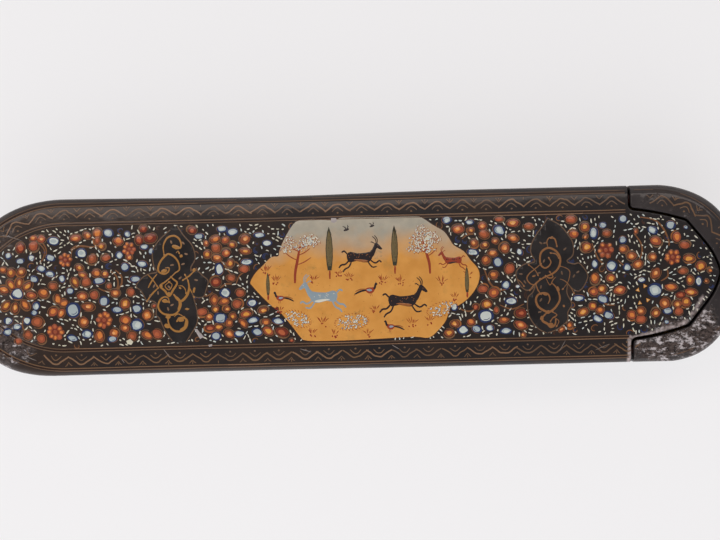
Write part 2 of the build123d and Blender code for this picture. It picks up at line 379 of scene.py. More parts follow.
class Nodes:
    """Short ways to add the nodes that most shaders need to a tree."""

    def __init__(self, tree):
        self.tree = tree

    def feed(self, node, values):
        """Sets or links a node's inputs by name or place. A colour may be six hexadecimal digits."""
        for name, value in values.items():
            if isinstance(value, bpy.types.NodeSocket):
                self.tree.links.new(value, node.inputs[name])
            else:
                node.inputs[name].default_value = linear(value) if isinstance(value, str) else value

    def add(self, kind, values=None, **settings):
        """A node with its settings and inputs."""
        node = self.tree.nodes.new("ShaderNode" + kind)
        for name, value in settings.items():
            setattr(node, name, value)
        self.feed(node, values or {})
        return node

    def between(self, value, low, high, out_low=0.0, out_high=1.0):
        """A value brought from one range to another, and held inside it."""
        return self.add("MapRange", {
            "Value": value, "From Min": low, "From Max": high, "To Min": out_low, "To Max": out_high,
        }).outputs["Result"]

    def sum(self, first, second):
        """Two values added."""
        return self.add("Math", {0: first, 1: second}).outputs["Value"]

    def product(self, first, second):
        """Two values multiplied."""
        return self.add("Math", {0: first, 1: second}, operation="MULTIPLY").outputs["Value"]

    def blend(self, share, first, second):
        """Two colours mixed by a share."""
        return self.add("Mix", {0: share, 6: first, 7: second}, data_type="RGBA").outputs[2]


class Look(Nodes):
    """A material in the making."""

    def __init__(self, name, **sockets):
        self.material = bpy.data.materials.new(name)
        self.material.use_nodes = True
        super().__init__(self.material.node_tree)
        self.shader = self.tree.nodes["Principled BSDF"]
        self.place = self.add("TexCoord").outputs["Object"]
        self.finish(**sockets)

    def finish(self, **values):
        """Sets or links the shader's inputs and gives the material."""
        self.feed(self.shader, {name.replace("_", " "): value for name, value in values.items()})
        return self.material

    def clouds(self, size, detail=3.0, rough=0.55, stretch=None):
        """Noise whose features are about so many millimetres across."""
        place = self.place
        if stretch:
            place = self.add("Mapping", {"Vector": place, "Scale": stretch}).outputs["Vector"]
        values = {"Vector": place, "Scale": 1 / (size * MM), "Detail": detail, "Roughness": rough}
        return self.add("TexNoise", values).outputs["Fac"]

    def relief(self, height, depth, coat=False):
        """Bump from a height map, so many millimetres deep."""
        normal = self.add("Bump", {"Height": height, "Distance": depth * MM}).outputs["Normal"]
        self.finish(Normal=normal)
        if coat:
            self.finish(Coat_Normal=normal)

    def attribute(self, name):
        """A number kept on the mesh."""
        return self.add("Attribute", attribute_name=name).outputs["Fac"]

    def axis(self, letter):
        """One of a point's three distances from the origin, in metres."""
        return self.add("SeparateXYZ", {"Vector": self.place}).outputs[letter]


VARNISH = {"Coat_Weight": 0.6, "Coat_Roughness": 0.1, "Specular_IOR_Level": 0.12}


def lacquer_look(name, dust):
    """Black lacquer under varnish, rubbed down to crinkled grey-brown pasteboard with painted glints where it
    is worn.
    """
    look = Look(name, **VARNISH)
    along = look.sum(look.clouds(12, 4), look.between(look.axis("X"), -0.12, 0.12, 0.12, -0.16))
    ground = look.blend(look.between(along, 0.35, 0.65), "221f20", "302621")
    dusty = look.sum(look.between(look.axis("X"), -0.12, -0.1, 0.3, 0), dust)
    ground = look.blend(look.product(dusty, look.clouds(5, 4)), ground, "857b7a")
    specks = look.between(look.clouds(0.5, 2), 0.68, 0.8)
    ground = look.blend(specks, ground, "3a2c25")
    crinkle = look.clouds(2.0, 7, 0.7, (0.7, 1.25, 1))
    bare_board_and_glints = look.between(look.clouds(1.0, 5, 0.7), 0.38, 0.62)
    bare_board_and_glints = look.blend(bare_board_and_glints, "14100f", "574b47")
    # Pale on the crinkles' ridges: partly bare pale ground, partly painted glints of light
    bare_board_and_glints = look.blend(look.between(crinkle, 0.53, 0.61), bare_board_and_glints, "bcb5b6")
    bare = look.sum(look.attribute("wear"), look.between(look.clouds(3.0, 6, 0.7), 0.2, 0.8, -0.5, 0.5))
    bare = look.between(bare, 0.4, 0.62)
    # A pale band: painted highlight along the tongue's lower edge, rubbing along the mouth's, with flaked
    # borders
    flaked = look.between(look.clouds(1.0, 5, 0.7), 0.25, 0.75, -0.45, 0.25)
    rubbed = look.between(look.sum(look.attribute("pale"), flaked), 0.25, 1.15)
    look.relief(look.sum(look.clouds(6, 3), look.product(bare, look.product(crinkle, 5))), 0.06, coat=True)
    skin = look.blend(bare, ground, bare_board_and_glints)
    return look.finish(
        Base_Color=look.blend(rubbed, skin, "aa9d9a"),
        Roughness=look.between(look.clouds(5, 5), 0.3, 0.7, 0.32, 0.5),
    )


def paint_look(name, code):
    """Opaque paint of one colour under the varnish, with the brush's fine ridges."""
    look = Look(name, **VARNISH)
    look.relief(look.clouds(0.35, 3, 0.6), 0.012)
    return look.finish(
        Base_Color=code,
        Roughness=look.between(look.clouds(1.2), 0.3, 0.7, 0.35, 0.6),
    )


def cartouche_look():
    """Ochre ground under a strip of pale sky, with faint stains."""
    look = Look("cartouche_ground", **VARNISH)
    low, high = (on_box(SKY_COLUMN, row).y * MM for row in (SKY_LINE, SKY_FULL))
    rise = look.sum(look.axis("Y"), look.between(look.clouds(9, 3), 0.3, 0.7, -2.5 * MM, 2.5 * MM))
    sky = look.between(rise, low, high)
    ground = look.blend(look.between(look.clouds(7, 4), 0.35, 0.65), "c98b40", "d6994c")
    ground = look.blend(look.between(look.clouds(5, 5, 0.7), 0.58, 0.78, 0, 0.55), ground, "a67f43")
    smudge = look.between(look.product(look.clouds(6, 2), look.clouds(1.2, 4, 0.7)), 0.36, 0.46, 0, 0.6)
    ground = look.blend(smudge, ground, "7a6238")
    air = look.blend(look.between(look.clouds(4, 3), 0.35, 0.65), "a29d8e", "afa796")
    look.relief(look.clouds(0.5, 3), 0.012)
    return look.finish(
        Base_Color=look.blend(sky, ground, air),
        Roughness=look.between(look.clouds(3), 0.3, 0.7, 0.35, 0.55),
    )


def slate_look():
    """Blue-black ground under the medallions, dusty grey in clouds."""
    look = Look("slate_ground", **VARNISH)
    look.relief(look.clouds(0.5, 3), 0.012)
    cloudy = look.between(look.clouds(8, 4), 0.36, 0.6)
    return look.finish(
        Base_Color=look.blend(cloudy, "1b191a", "2a2727"),
        Roughness=look.between(look.clouds(3), 0.3, 0.7, 0.35, 0.55),
    )


def paper_look():
    """Red laid paper with fibres and flecks of gold."""
    look = Look("red_paper")
    dark = "5a1712"
    fibres = look.clouds(0.8, 6, 0.7, (1, 3, 1))
    ground = look.blend(look.between(fibres, 0.35, 0.65), dark, "7d261b")
    ground = look.blend(look.between(look.clouds(16, 4), 0.5, 0.75, 0, 0.45), ground, dark)
    gold = look.between(look.clouds(0.55, 1), 0.72, 0.75)
    look.relief(fibres, 0.06)
    return look.finish(
        Base_Color=look.blend(gold, ground, "b98a45"),
        Roughness=look.between(fibres, 0.3, 0.7, 0.62, 0.82),
    )


def tray_look():
    """Dark red paint on pasteboard, rubbed along the runners."""
    look = Look("tray_paint", Coat_Weight=0.2, Coat_Roughness=0.3)
    streaks = look.clouds(1.5, 5, 0.7, (0.12, 1, 1))
    ground = look.blend(look.clouds(9, 4), "36120c", "5a2015")
    rubbed = look.between(streaks, 0.58, 0.72, 0, 0.7)
    look.relief(streaks, 0.04)
    return look.finish(
        Base_Color=look.blend(rubbed, ground, "6d4a33"),
        Roughness=look.between(streaks, 0.3, 0.7, 0.4, 0.65),
    )


def brass_look(name, polish):
    """Old brass, brown where fingers don't rub it."""
    look = Look(name, Metallic=1.0)
    tarnish = look.between(look.clouds(3.2, 6, 0.65), 0.4, 0.62)
    ground = look.blend(tarnish, "b08a4a", "6a4d2b")
    spots = look.between(look.clouds(0.7, 3), 0.62, 0.72)
    look.relief(look.clouds(0.5, 3, 0.6, (0.15, 1, 1)), 0.01)
    return look.finish(
        Base_Color=look.blend(spots, ground, "35271c"),
        Roughness=look.between(tarnish, 0, 1, polish, 0.5),
    )


def silk_look():
    """Silk thread soaked with dry ink."""
    look = Look("inked_silk", Sheen_Weight=0.3, Sheen_Roughness=0.4)
    strands = look.clouds(0.3, 3)
    look.relief(strands, 0.05)
    return look.finish(
        Base_Color=look.blend(strands, "08080a", "1f1c20"),
        Roughness=look.between(strands, 0.3, 0.7, 0.45, 0.7),
    )


def dress(material, *nodes):
    """Gives carried-over parts their material."""
    for node in nodes:
        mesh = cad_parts[node].data
        mesh.materials.clear()
        mesh.materials.append(material)


# The paint: every mark is a thin raised shape on the lacquer
SHADES = {
    "umber": "40291f", "sepal": "764e31", "rust": "86492e", "vermilion": "ad5b39", "brick": "924b32",
    "crimson": "6f2f21", "amber": "d3913f", "apricot": "ce7c3c", "peach": "e0a062", "navy": "25335a",
    "sea_blue": "4a6482", "mist": "a2aeb0", "frost": "c0c8c2", "cream": "d2cfbe", "ivory": "ccc8b2",
    "gold": "80624a", "bright_gold": "9f7038", "dull_gold": "634c3a", "copper": "875c38", "band": "2c1d17",
    "stem": "6f543d", "cypress": "6a5c3d", "cypress_dark": "39382b", "bark": "8f3b26", "tuft": "8c3119",
    "soot": "282123", "dove": "8b9aa2", "fawn": "945a30", "chipped": "a39b99", "rubbed": "7f7672",
}
marks = {}
skins = {}
BODIES = {"case_shell": "case", "drawer_head": "drawer"}
LAYER = 0.022
SUNK = -0.008
PAINT = 0.03
PATCH_EDGE = -0.2
PATCH_STEP = 1.5
DAUB_SHOULDER = 0.8
DAUB_CROWN = 1.35
STROKE_SWELL = 0.6
RAY_START = 10
DEEPEST_LANDING = 1.5


def on_top(x, y):
    """The way down onto the top."""
    return Vector((x, y, HEIGHT + RAY_START)), Vector((0, 0, -1))


def on_side(run, z):
    """The way in onto the sides, that far along the path round the box."""
    point, out = rim(run, -RAY_START)
    return Vector((point.x, point.y, z)), Vector((-out.x, -out.y, 0))


def land(start, way):
    """The shell that a ray meets first, where, and nothing if that isn't the outside."""
    best = None
    for name, tree in skins.items():
        place, _, _, distance = tree.ray_cast(start, way)
        if place and (best is None or distance < best[2]):
            best = (name, place, distance)
    if best is None or skin_depth(best[1])[0] > DEEPEST_LANDING:
        return None, None
    return best[0], best[1]


def lay(shade, spots, heights, faces, at, whole=True):
    """Adds a mark to its colour's mesh. One that isn't whole loses only the faces off a shell's edge."""
    landed = [land(*at(*spot)) for spot in spots]
    homes = {home for home, place in landed}
    if whole and (len(homes) > 1 or None in homes):
        return False
    points = []
    for spot, (home, place), height in zip(spots, landed, heights):
        points.append(place - at(*spot)[1] * height if home else None)
    for home in homes - {None}:
        verts, polygons = marks.setdefault((shade, BODIES[home]), ([], []))
        kept = [face for face in faces if all(landed[corner][0] == home for corner in face)]
        used = sorted({corner for face in kept for corner in face})
        number = {corner: len(verts) + place for place, corner in enumerate(used)}
        verts.extend(points[corner] for corner in used)
        polygons.extend([number[corner] for corner in face] for face in kept)
    return True


def daub(shade, layer, outline, at=on_top):
    """A low dome of paint on an outline given anticlockwise."""
    count = len(outline)
    middle = sum(outline, Vector((0, 0))) / count
    shoulder = [middle.lerp(point, DAUB_SHOULDER) for point in outline]
    edge = SUNK + layer * LAYER
    heights = [edge] * count + [edge + PAINT] * count + [edge + PAINT * DAUB_CROWN]
    faces = [(i, (i + 1) % count, count + (i + 1) % count, count + i) for i in range(count)]
    faces += [(count + i, count + (i + 1) % count, 2 * count) for i in range(count)]
    return lay(shade, [*outline, *shoulder, middle], heights, faces, at)


def stroke(shade, layer, path, width, at=on_top, taper=0.5, whole=False):
    """A brush line along a path, thinner at its ends by the taper."""
    spots, heights, faces = [], [], []
    last = len(path) - 1
    edge = SUNK + layer * LAYER
    for place, point in enumerate(path):
        along = (path[min(place + 1, last)] - path[max(place - 1, 0)]).normalized()
        left = Vector((-along.y, along.x))
        half = width / 2 * (1 - taper + taper * sin(pi * (place / last)) ** STROKE_SWELL)
        spots += [point + left * half, point, point - left * half]
        heights += [edge, edge + PAINT, edge]
    for place in range(last):
        a, b = 3 * place, 3 * place + 3
        faces += [(a + 2, b + 2, b + 1, a + 1), (a + 1, b + 1, b, a)]
    return lay(shade, spots, heights, faces, at, whole)


def curve(points, steps=5, closed=False):
    """A smooth path through points."""
    count = len(points)
    path = []
    for span in range(count if closed else count - 1):
        if closed:
            a, b, c, d = (points[(span + shift) % count] for shift in (-1, 0, 1, 2))
        else:
            a, b, c, d = (points[min(max(span + shift, 0), count - 1)] for shift in (-1, 0, 1, 2))
        for step in range(steps):
            t = step / steps
            path.append(
                0.5 * (2 * b + (c - a) * t + (2 * a - 5 * b + 4 * c - d) * t * t
                       + (3 * b - a - 3 * c + d) * t**3)
            )
    return path if closed else [*path, points[-1]]


def traced(pixels, steps=5, closed=False):
    """A smooth path through pixels of the photograph."""
    return curve([on_box(*pixel) for pixel in pixels], steps, closed)


def oval(middle, a, b, turn, count, ragged=0.0, dice=None):
    """An oval outline, anticlockwise and a little uneven."""
    waves = [(dice.uniform(-ragged, ragged), dice.uniform(0, tau)) for _ in range(3)] if dice else []
    outline = []
    for step in range(count):
        angle = tau * step / count
        swell = 1 + sum(size * cos((order + 2) * angle + shift) for order, (size, shift) in enumerate(waves))
        outline.append(middle + turned(a * swell * cos(angle), b * swell * sin(angle), turn))
    return outline


def arc_path(middle, a, b, turn, start, sweep, steps=9):
    """A piece of an oval's edge."""
    angles = [start + sweep * step / (steps - 1) for step in range(steps)]
    return [middle + turned(a * cos(angle), b * sin(angle), turn) for angle in angles]


def inside(point, outline):
    """Whether a point lies in a closed outline."""
    odd = False
    for place, corner in enumerate(outline):
        other = outline[place - 1]
        if (corner.y > point.y) != (other.y > point.y):
            if point.x < (other.x - corner.x) * (point.y - corner.y) / (other.y - corner.y) + corner.x:
                odd = not odd
    return odd


def lay_patch(name, outline, material):
    """A wide even coat of paint with a low edge, on the case's top."""
    form = bmesh.new()
    count = len(outline)
    ring, inner = [], []
    for place, point in enumerate(outline):
        along = (outline[(place + 1) % count] - outline[place - 1]).normalized()
        ring.append(form.verts.new((point.x, point.y, 0)))
        inner.append(form.verts.new((point.x - along.y * PATCH_EDGE, point.y + along.x * PATCH_EDGE, 0)))
    form.faces.new(inner)
    low = Vector((min(p.x for p in outline), min(p.y for p in outline)))
    high = Vector((max(p.x for p in outline), max(p.y for p in outline)))
    for axis in range(2):
        cut_across(form, axis, low, high, PATCH_STEP, 1e-5)
    bmesh.ops.triangulate(form, faces=form.faces)
    edge = set(ring)
    for place in range(count):
        after = (place + 1) % count
        form.faces.new((ring[place], ring[after], inner[after], inner[place]))
    for vertex in form.verts:
        place = land(*on_top(vertex.co.x, vertex.co.y))[1]
        vertex.co = place + Vector((0, 0, SUNK if vertex in edge else SUNK + PAINT))
    bmesh.ops.recalc_face_normals(form, faces=form.faces)
    if sum(face.normal.z for face in form.faces) < 0:
        bmesh.ops.reverse_faces(form, faces=form.faces)
    add_piece(name, mesh_from(form, name), "case", material)


def lay_paint():
    """Makes one piece of each colour on each body."""
    for (shade, body), (verts, faces) in sorted(marks.items()):
        name = f"paint_{shade}_{body}"
        mesh = bpy.data.meshes.new(name)
        mesh.from_pydata([vertex * MM for vertex in verts], [], faces)
        mesh.validate()
        add_piece(name, mesh, body, paints[shade])


# Flowers

def blossom(kind, middle, a, b, turn, dice, at=on_top, count=14):
    """A bud in rings of colour, one laid over the other, with brown lines and a calyx round it."""
    def ring(share, shade, layer, shift=0.0, ragged=0.05):
        off = Vector((dice.uniform(-shift, shift), dice.uniform(-shift, shift)))
        return daub(shade, layer, oval(middle + off, a * share, b * share, turn, count, ragged, dice), at)

    start = dice.uniform(0, tau)
    if kind == "blue":
        if not ring(1.1, "navy", 1):
            return False
        ring(0.84, dice.choice(["mist", "mist", "mist", "frost"]), 2, 0.12, 0.08)
        ring(0.52, dice.choice(["frost", "mist", "frost"]), 3, 0.2, 0.12)
        if dice.random() < 0.5:
            shade = dice.choice(["sea_blue", "navy"])
            stroke(shade, 4, arc_path(middle, a * 0.6, b * 0.6, turn, start, 1.9, 6), 0.22, at, 0.8)
        if dice.random() < 0.6:
            stroke("sepal", 0, arc_path(middle, a * 1.15, b * 1.15, turn, start, 2.4), 0.26, at, 0.7)
        return True
    if not ring(1.02, "umber", 1):
        return False
    sweep = dice.uniform(4.2, tau)
    shade = dice.choice(["sepal", "stem", "sepal"])
    calyx = arc_path(middle, a + 0.2, b + 0.2, turn, start, sweep, 13)
    stroke(shade, 0, calyx, dice.uniform(0.26, 0.4), at)
    if dice.random() < 0.42:
        shade = dice.choice(["sepal", "stem", "fawn"])
        leaf = arc_path(middle, a + 0.34, b + 0.34, turn, start + 0.5, dice.uniform(1.6, 2.8))
        stroke(shade, 0, leaf, dice.uniform(0.55, 0.85), at, 0.95)
    if kind == "orange":
        ring(0.9, dice.choice(["rust", "rust", "brick"]), 2, 0.06)
        ring(dice.uniform(0.42, 0.64), dice.choice(["amber", "apricot", "apricot"]), 3, 0.2, 0.1)
        if dice.random() < 0.5:
            ring(0.3, "peach", 4, 0.14)
    else:
        ring(0.9, dice.choice(["brick", "rust", "brick", "crimson"]), 2, 0.05)
        ring(dice.uniform(0.42, 0.6), "vermilion", 3, 0.18, 0.1)
    return True


def rosette(middle, radius, petals, dice):
    """A flower of small orange petals round a dark red heart."""
    daub("umber", 0, oval(middle, radius * 1.02, radius * 1.02, 0, 20, 0.05, dice))
    daub("crimson", 1, oval(middle, radius * 0.8, radius * 0.8, 0, 18, 0.06, dice))
    for petal in range(petals):
        angle = tau * petal / petals + dice.uniform(-0.2, 0.2)
        centre = middle + Vector((cos(angle), sin(angle))) * radius * dice.uniform(0.62, 0.76)
        size = radius * dice.uniform(0.3, 0.37)
        daub(dice.choice(["rust", "brick"]), 2, oval(centre, size, size * 0.9, angle, 10, 0.08, dice))
        off = Vector((dice.uniform(-0.12, 0.12), dice.uniform(-0.12, 0.12)))
        shade = dice.choice(["apricot", "vermilion", "apricot"])
        daub(shade, 3, oval(centre + off, size * 0.6, size * 0.5, angle, 8, 0.12, dice))
    daub("brick", 2, oval(middle, radius * 0.26, radius * 0.26, 0, 10, 0.08, dice))


# Where the buds stand on the top: pixel, half sizes in pixels, and some with a turn in degrees
ORANGE_BUDS = [
    (3, 270, 4, 3, 20), (11, 273, 4.5, 5, 20), (21, 272, 4.5, 4, 10), (33, 238, 4, 3), (41, 239, 4.5, 4, 10),
    (43, 293, 5.5, 4.5, 20), (53, 312, 5, 4.5, -35), (58, 299, 3.5, 5.5, -20), (61, 313, 3.5, 5, 20),
    (64, 303, 4.5, 3.5, -20), (75, 238, 6, 3.5, -5), (75, 282, 3.5, 5.5, -25), (79, 268, 4.5, 3.5, 30),
    (82, 296, 5.5, 4, 5), (83, 275, 4.5, 3, 30), (84, 322, 5, 5, -20), (87, 235, 4.5, 3.5, 40),
    (88, 307, 6.5, 4, 5), (96, 273, 4.5, 4), (97, 233, 4.5, 5, 30), (99, 336, 4.5, 6, -15),
    (101, 246, 3.5, 3.5), (105, 274, 3.5, 3), (114, 333, 5, 4.5, 20), (115, 293, 5, 4), (118, 241, 5, 4, 15),
    (125, 320, 5, 4.5), (125, 328, 5, 4, 20), (125, 304, 5, 5.5, 20), (129, 257, 3, 3), (147, 335, 6, 4, 25),
    (147, 315, 5, 5.5, 45), (206, 243, 2.5, 3), (207, 254, 4, 4), (209, 317, 4, 3.5), (214, 300, 4, 5.5, -10),
    (215, 239, 5.5, 3.5, -20), (216, 309, 3.5, 3), (217, 258, 5, 3.5), (219, 327, 4.5, 3),
    (224, 301, 5.5, 3.5, -10), (225, 240, 4, 3.5), (226, 253, 4.5, 4), (227, 309, 3.5, 3), (229, 323, 4, 4),
    (229, 334, 5.5, 4, 35), (230, 263, 4, 4), (232, 245, 3.5, 3), (233, 316, 3.5, 3.5),
    (243, 323, 3, 5.5, -40), (245, 239, 5.5, 5, -20), (245, 251, 6, 3), (246, 314, 6, 3.5, -15),
    (263, 310, 5, 3, -10), (266, 322, 4.5, 3.5, 10), (268, 331, 6, 4, 35), (449, 333, 5, 4),
    (455, 324, 4.5, 3.5), (458, 229, 6, 4.5), (471, 322, 4, 3.5), (471, 230, 3, 3), (474, 243, 4, 4),
    (482, 226, 4.5, 4), (485, 245, 3.5, 3), (486, 260, 4.5, 5), (487, 304, 5.5, 4.5), (493, 253, 5, 3.5),
    (494, 275, 4.5, 4), (494, 293, 5.5, 5), (495, 241, 3.5, 3), (504, 320, 5.5, 3), (505, 248, 5, 5, 30),
    (513, 223, 6.5, 4, -5), (513, 238, 5.5, 3.5, 10), (521, 325, 6.5, 4, 20), (570, 325, 3, 3),
    (574, 234, 5, 4), (583, 312, 6, 4, -20), (585, 227, 5, 5), (587, 247, 5.5, 5), (593, 306, 4, 4),
    (594, 292, 4.5, 4), (595, 278, 4.5, 6), (600, 310, 4, 3.5), (602, 289, 4.5, 4), (611, 278, 4.5, 4),
    (620, 290, 6.5, 4.5, -5), (623, 249, 4.5, 3.5), (632, 315, 4.5, 4.5), (632, 256, 5, 4.5),
    (638, 264, 5.5, 4.5, -30), (641, 311, 4.5, 4), (653, 257, 4.5, 4), (656, 241, 6, 4.5, 20),
    (656, 273, 4.5, 6, 25), (656, 313, 4.5, 4.5), (665, 303, 5.5, 5.5), (671, 287, 6.5, 3.5, 5),
    (677, 237, 4.5, 5.5), (678, 304, 4.5, 4), (686, 302, 5, 5), (689, 258, 6, 4), (690, 280, 4, 5),
    (691, 292, 6.5, 3.5, 10), (701, 266, 5, 4.5),
]
BRICK_BUDS = [
    (18, 341, 3.5, 3), (20, 248, 4.5, 5.5), (28, 335, 4.5, 4.5), (33, 246, 5, 5, 20), (37, 322, 6, 5.5),
    (41, 339, 4.5, 4.5), (53, 286, 4.5, 4), (86, 282, 5, 5, 40), (92, 259, 4.5, 5, 20), (94, 295, 4.5, 4.5),
    (97, 240, 3, 4.5), (106, 258, 4.5, 3.5, -15), (109, 286, 3, 3), (131, 292, 4, 4), (132, 336, 5, 4.5, 30),
    (139, 240, 4, 5), (143, 229, 4, 4), (150, 238, 6.5, 5, -10), (157, 334, 5.5, 4.5, 35), (192, 230, 4.5, 4),
    (202, 312, 5.5, 4), (210, 328, 5, 3), (216, 248, 5, 5), (216, 282, 5, 5), (231, 278, 4.5, 3.5),
    (237, 304, 5, 4.5, -20), (240, 293, 4.5, 4), (244, 269, 5, 4), (282, 332, 7, 4.5, 25), (476, 307, 3, 3),
    (483, 289, 5, 4), (484, 234, 5.5, 4.5, 20), (499, 219, 4.5, 2.5), (510, 269, 5, 5.5, 20),
    (521, 313, 6, 4.5), (529, 226, 5.5, 3.5), (571, 219, 5.5, 4), (607, 233, 4.5, 3.5), (641, 319, 5.5, 4),
    (679, 311, 4.5, 4), (681, 295, 5, 3.5), (683, 271, 5, 3.5), (685, 245, 5, 4),
]
BLUE_BUDS = [
    (7, 332, 4, 3.5), (8, 256, 3, 3), (8, 321, 4, 3.5), (17, 327, 4, 3), (20, 261, 4, 2.5, -5),
    (27, 321, 3.5, 3.5), (31, 258, 3, 3), (34, 279, 4, 3, 30), (34, 313, 3, 2.5), (36, 306, 3.5, 4),
    (41, 269, 4.5, 3, 15), (50, 258, 4.5, 3, 20), (50, 274, 4.5, 3, 15), (53, 241, 5.5, 4, 10),
    (62, 279, 3, 3.5), (70, 291, 3.5, 3, 15), (72, 338, 5, 3, 15), (73, 310, 6.5, 7), (81, 253, 5, 4.5),
    (87, 334, 5, 4), (99, 281, 5.5, 3, -5), (104, 301, 4.5, 4.5), (108, 233, 5, 4, 10), (112, 339, 4.5, 3),
    (117, 310, 5, 3), (119, 255, 3.5, 3.5), (125, 267, 4, 4), (127, 234, 3, 3), (135, 279, 5, 3),
    (137, 325, 6, 5.5), (137, 309, 4.5, 4), (142, 264, 5, 3, 10), (144, 247, 4, 2.5),
    (199, 236, 4.5, 2.5, -5), (216, 336, 4.5, 4), (219, 269, 4, 5.5), (220, 318, 6, 5), (222, 229, 5, 3),
    (225, 293, 5, 4.5), (232, 232, 5.5, 3.5, -10), (239, 334, 5, 3), (247, 262, 5.5, 3), (252, 303, 4.5, 3.5),
    (253, 320, 5.5, 3, -10), (257, 332, 5, 3.5, 20), (259, 235, 5.5, 2.5), (267, 243, 4.5, 3),
    (278, 321, 5.5, 3, 10), (447, 220, 4.5, 3.5), (463, 330, 5, 4), (470, 222, 4, 2.5),
    (473, 252, 5.5, 3, 10), (477, 329, 4.5, 3.5, 20), (486, 316, 7, 6), (490, 328, 4, 3),
    (498, 262, 4.5, 4.5), (499, 230, 5.5, 4.5, 30), (506, 285, 4, 4), (506, 331, 5.5, 3),
    (511, 301, 5.5, 3.5), (520, 252, 3.5, 2.5, 50), (579, 298, 5.5, 3), (594, 233, 4, 5.5), (595, 264, 3, 4),
    (598, 319, 5, 3, 30), (603, 225, 3.5, 3), (603, 299, 5, 4, 20), (609, 315, 5, 3.5, 30), (612, 266, 5, 5),
    (623, 219, 4, 3.5), (623, 240, 3.5, 3.5), (627, 267, 3.5, 3.5), (642, 280, 3.5, 2.5),
    (653, 230, 5, 3.5, 25), (655, 290, 6.5, 6.5), (668, 311, 4.5, 3), (671, 225, 4.5, 4), (699, 281, 3, 4.5),
]

# The rosettes, as pixel, radius in pixels and number of petals, and the small triangles
ROSETTES = [
    (65, 260, 7, 7), (129, 249, 7, 7), (104, 320, 8.5, 8), (55, 332, 8.5, 8), (606, 250, 8.5, 6),
    (673, 257, 8, 7),
]
TRIANGLES = [(638, 290), (645, 286), (648, 300), (640, 303)]

# The great flower at the tail: its heart, the middles of its petals, and a petal's half sizes
GREAT_HEART = (17, 294, 5.6)
GREAT_PETALS = [(11, 285), (19, 283), (27, 286), (31, 295), (25, 305), (15, 308), (6, 306), (4, 290)]
GREAT_PETAL = (1.75, 1.1)

# The two arabesque medallions: outlines, strokes with their widths in pixels, blobs and small leaves
LEFT_OUTLINES = [
    [(177, 226), (183, 235), (191, 244), (194, 251), (195, 259), (191, 267), (191, 271), (196, 270),
     (203, 276), (208, 281), (206, 290), (203, 297), (195, 297), (192, 293)],
    [(192, 293), (195, 303), (197, 311), (197, 323), (191, 334), (186, 342)],
    [(170, 230), (161, 238), (154, 247), (152, 254), (154, 267), (157, 272), (149, 274), (142, 278),
     (136, 286), (141, 291), (146, 300)],
    [(146, 300), (156, 303), (156, 315), (159, 318), (165, 331), (172, 341)],
]
LEFT_SCROLLS = [
    (1.9, [(164, 255), (163, 248), (164, 243), (167, 238), (171, 236), (175, 236), (179, 239), (181, 244),
           (180, 248), (175, 249)]),
    (2.0, [(171, 277), (175, 273), (179, 270), (179, 265), (177, 260), (173, 256), (168, 254), (164, 257),
           (160, 262), (158, 268), (159, 272), (164, 274), (168, 272), (169, 268), (165, 268)]),
    (2.2, [(171, 277), (165, 282), (160, 286), (165, 291), (169, 296), (173, 290), (177, 283), (173, 279),
           (171, 277)]),
    (1.0, [(169, 282), (165, 286), (169, 290), (172, 285), (169, 282)]),
    (1.5, [(157, 274), (153, 279), (150, 284), (148, 288)]),
    (1.1, [(147, 274), (152, 279), (157, 286)]),
    (1.7, [(158, 288), (152, 294), (147, 301)]),
    (1.5, [(194, 271), (189, 276), (183, 280)]),
    (1.2, [(185, 275), (188, 281), (189, 287), (192, 293), (194, 297)]),
    (2.6, [(188, 281), (189, 287), (188, 293), (185, 298), (181, 301), (177, 299), (174, 295)]),
    (1.0, [(178, 286), (182, 286), (185, 289), (186, 293)]),
    (2.0, [(169, 302), (168, 298), (164, 297), (160, 300), (158, 306), (160, 311), (164, 314), (170, 315),
           (175, 314), (179, 310), (181, 304), (179, 299), (175, 296)]),
    (3.0, [(179, 300), (180, 305), (178, 310)]),
    (2.2, [(168, 315), (168, 321), (170, 327), (175, 331), (181, 331), (186, 327), (187, 321), (184, 318),
           (179, 318), (177, 321)]),
    (3.0, [(186, 320), (185, 327), (180, 330)]),
    (1.0, [(174, 317), (178, 314), (184, 317)]),
    (0.9, [(179, 253), (178, 251), (176, 253)]),
]
LEFT_BLOBS = [
    (176, 247, 4.6, 1.9, 12), (164, 271, 3.2, 1.8, -15), (181, 320, 3, 1.8, -10), (167, 326, 3, 2.2, 20),
    (165, 301, 3, 2, 10), (181, 256, 1.6, 1.6, 0), (194, 290, 1.2, 2.8, 15), (187, 309, 2, 1.1, 0),
    (168, 317, 2.4, 2, 0), (194, 270, 1.8, 1.8, 0), (161, 286, 1.8, 1.4, 0), (169, 294, 1.6, 2, 0),
    (180, 288, 1.4, 0.9, 30),
]
LEFT_LEAVES = [
    (171, 242), (172, 265), (186, 254), (183, 243), (154, 286), (196, 280), (183, 264), (172, 305),
    (168, 309), (158, 293), (180, 278), (169, 287), (150, 296),
]
RIGHT_OUTLINES = [
    [(548, 218), (553, 221), (560, 225), (567, 233), (573, 243), (573, 255), (567, 261), (574, 264),
     (579, 263), (584, 268), (588, 276), (584, 286), (579, 291), (573, 289), (568, 284)],
    [(568, 284), (567, 293), (572, 304), (568, 312), (568, 320), (562, 326), (556, 330), (548, 333)],
    [(548, 218), (542, 227), (535, 237), (531, 246), (531, 253), (535, 261), (531, 263), (525, 264),
     (518, 269), (516, 275), (520, 285), (526, 290), (532, 289), (536, 284)],
    [(536, 284), (533, 292), (528, 298), (528, 311), (532, 321), (539, 329), (547, 333)],
]
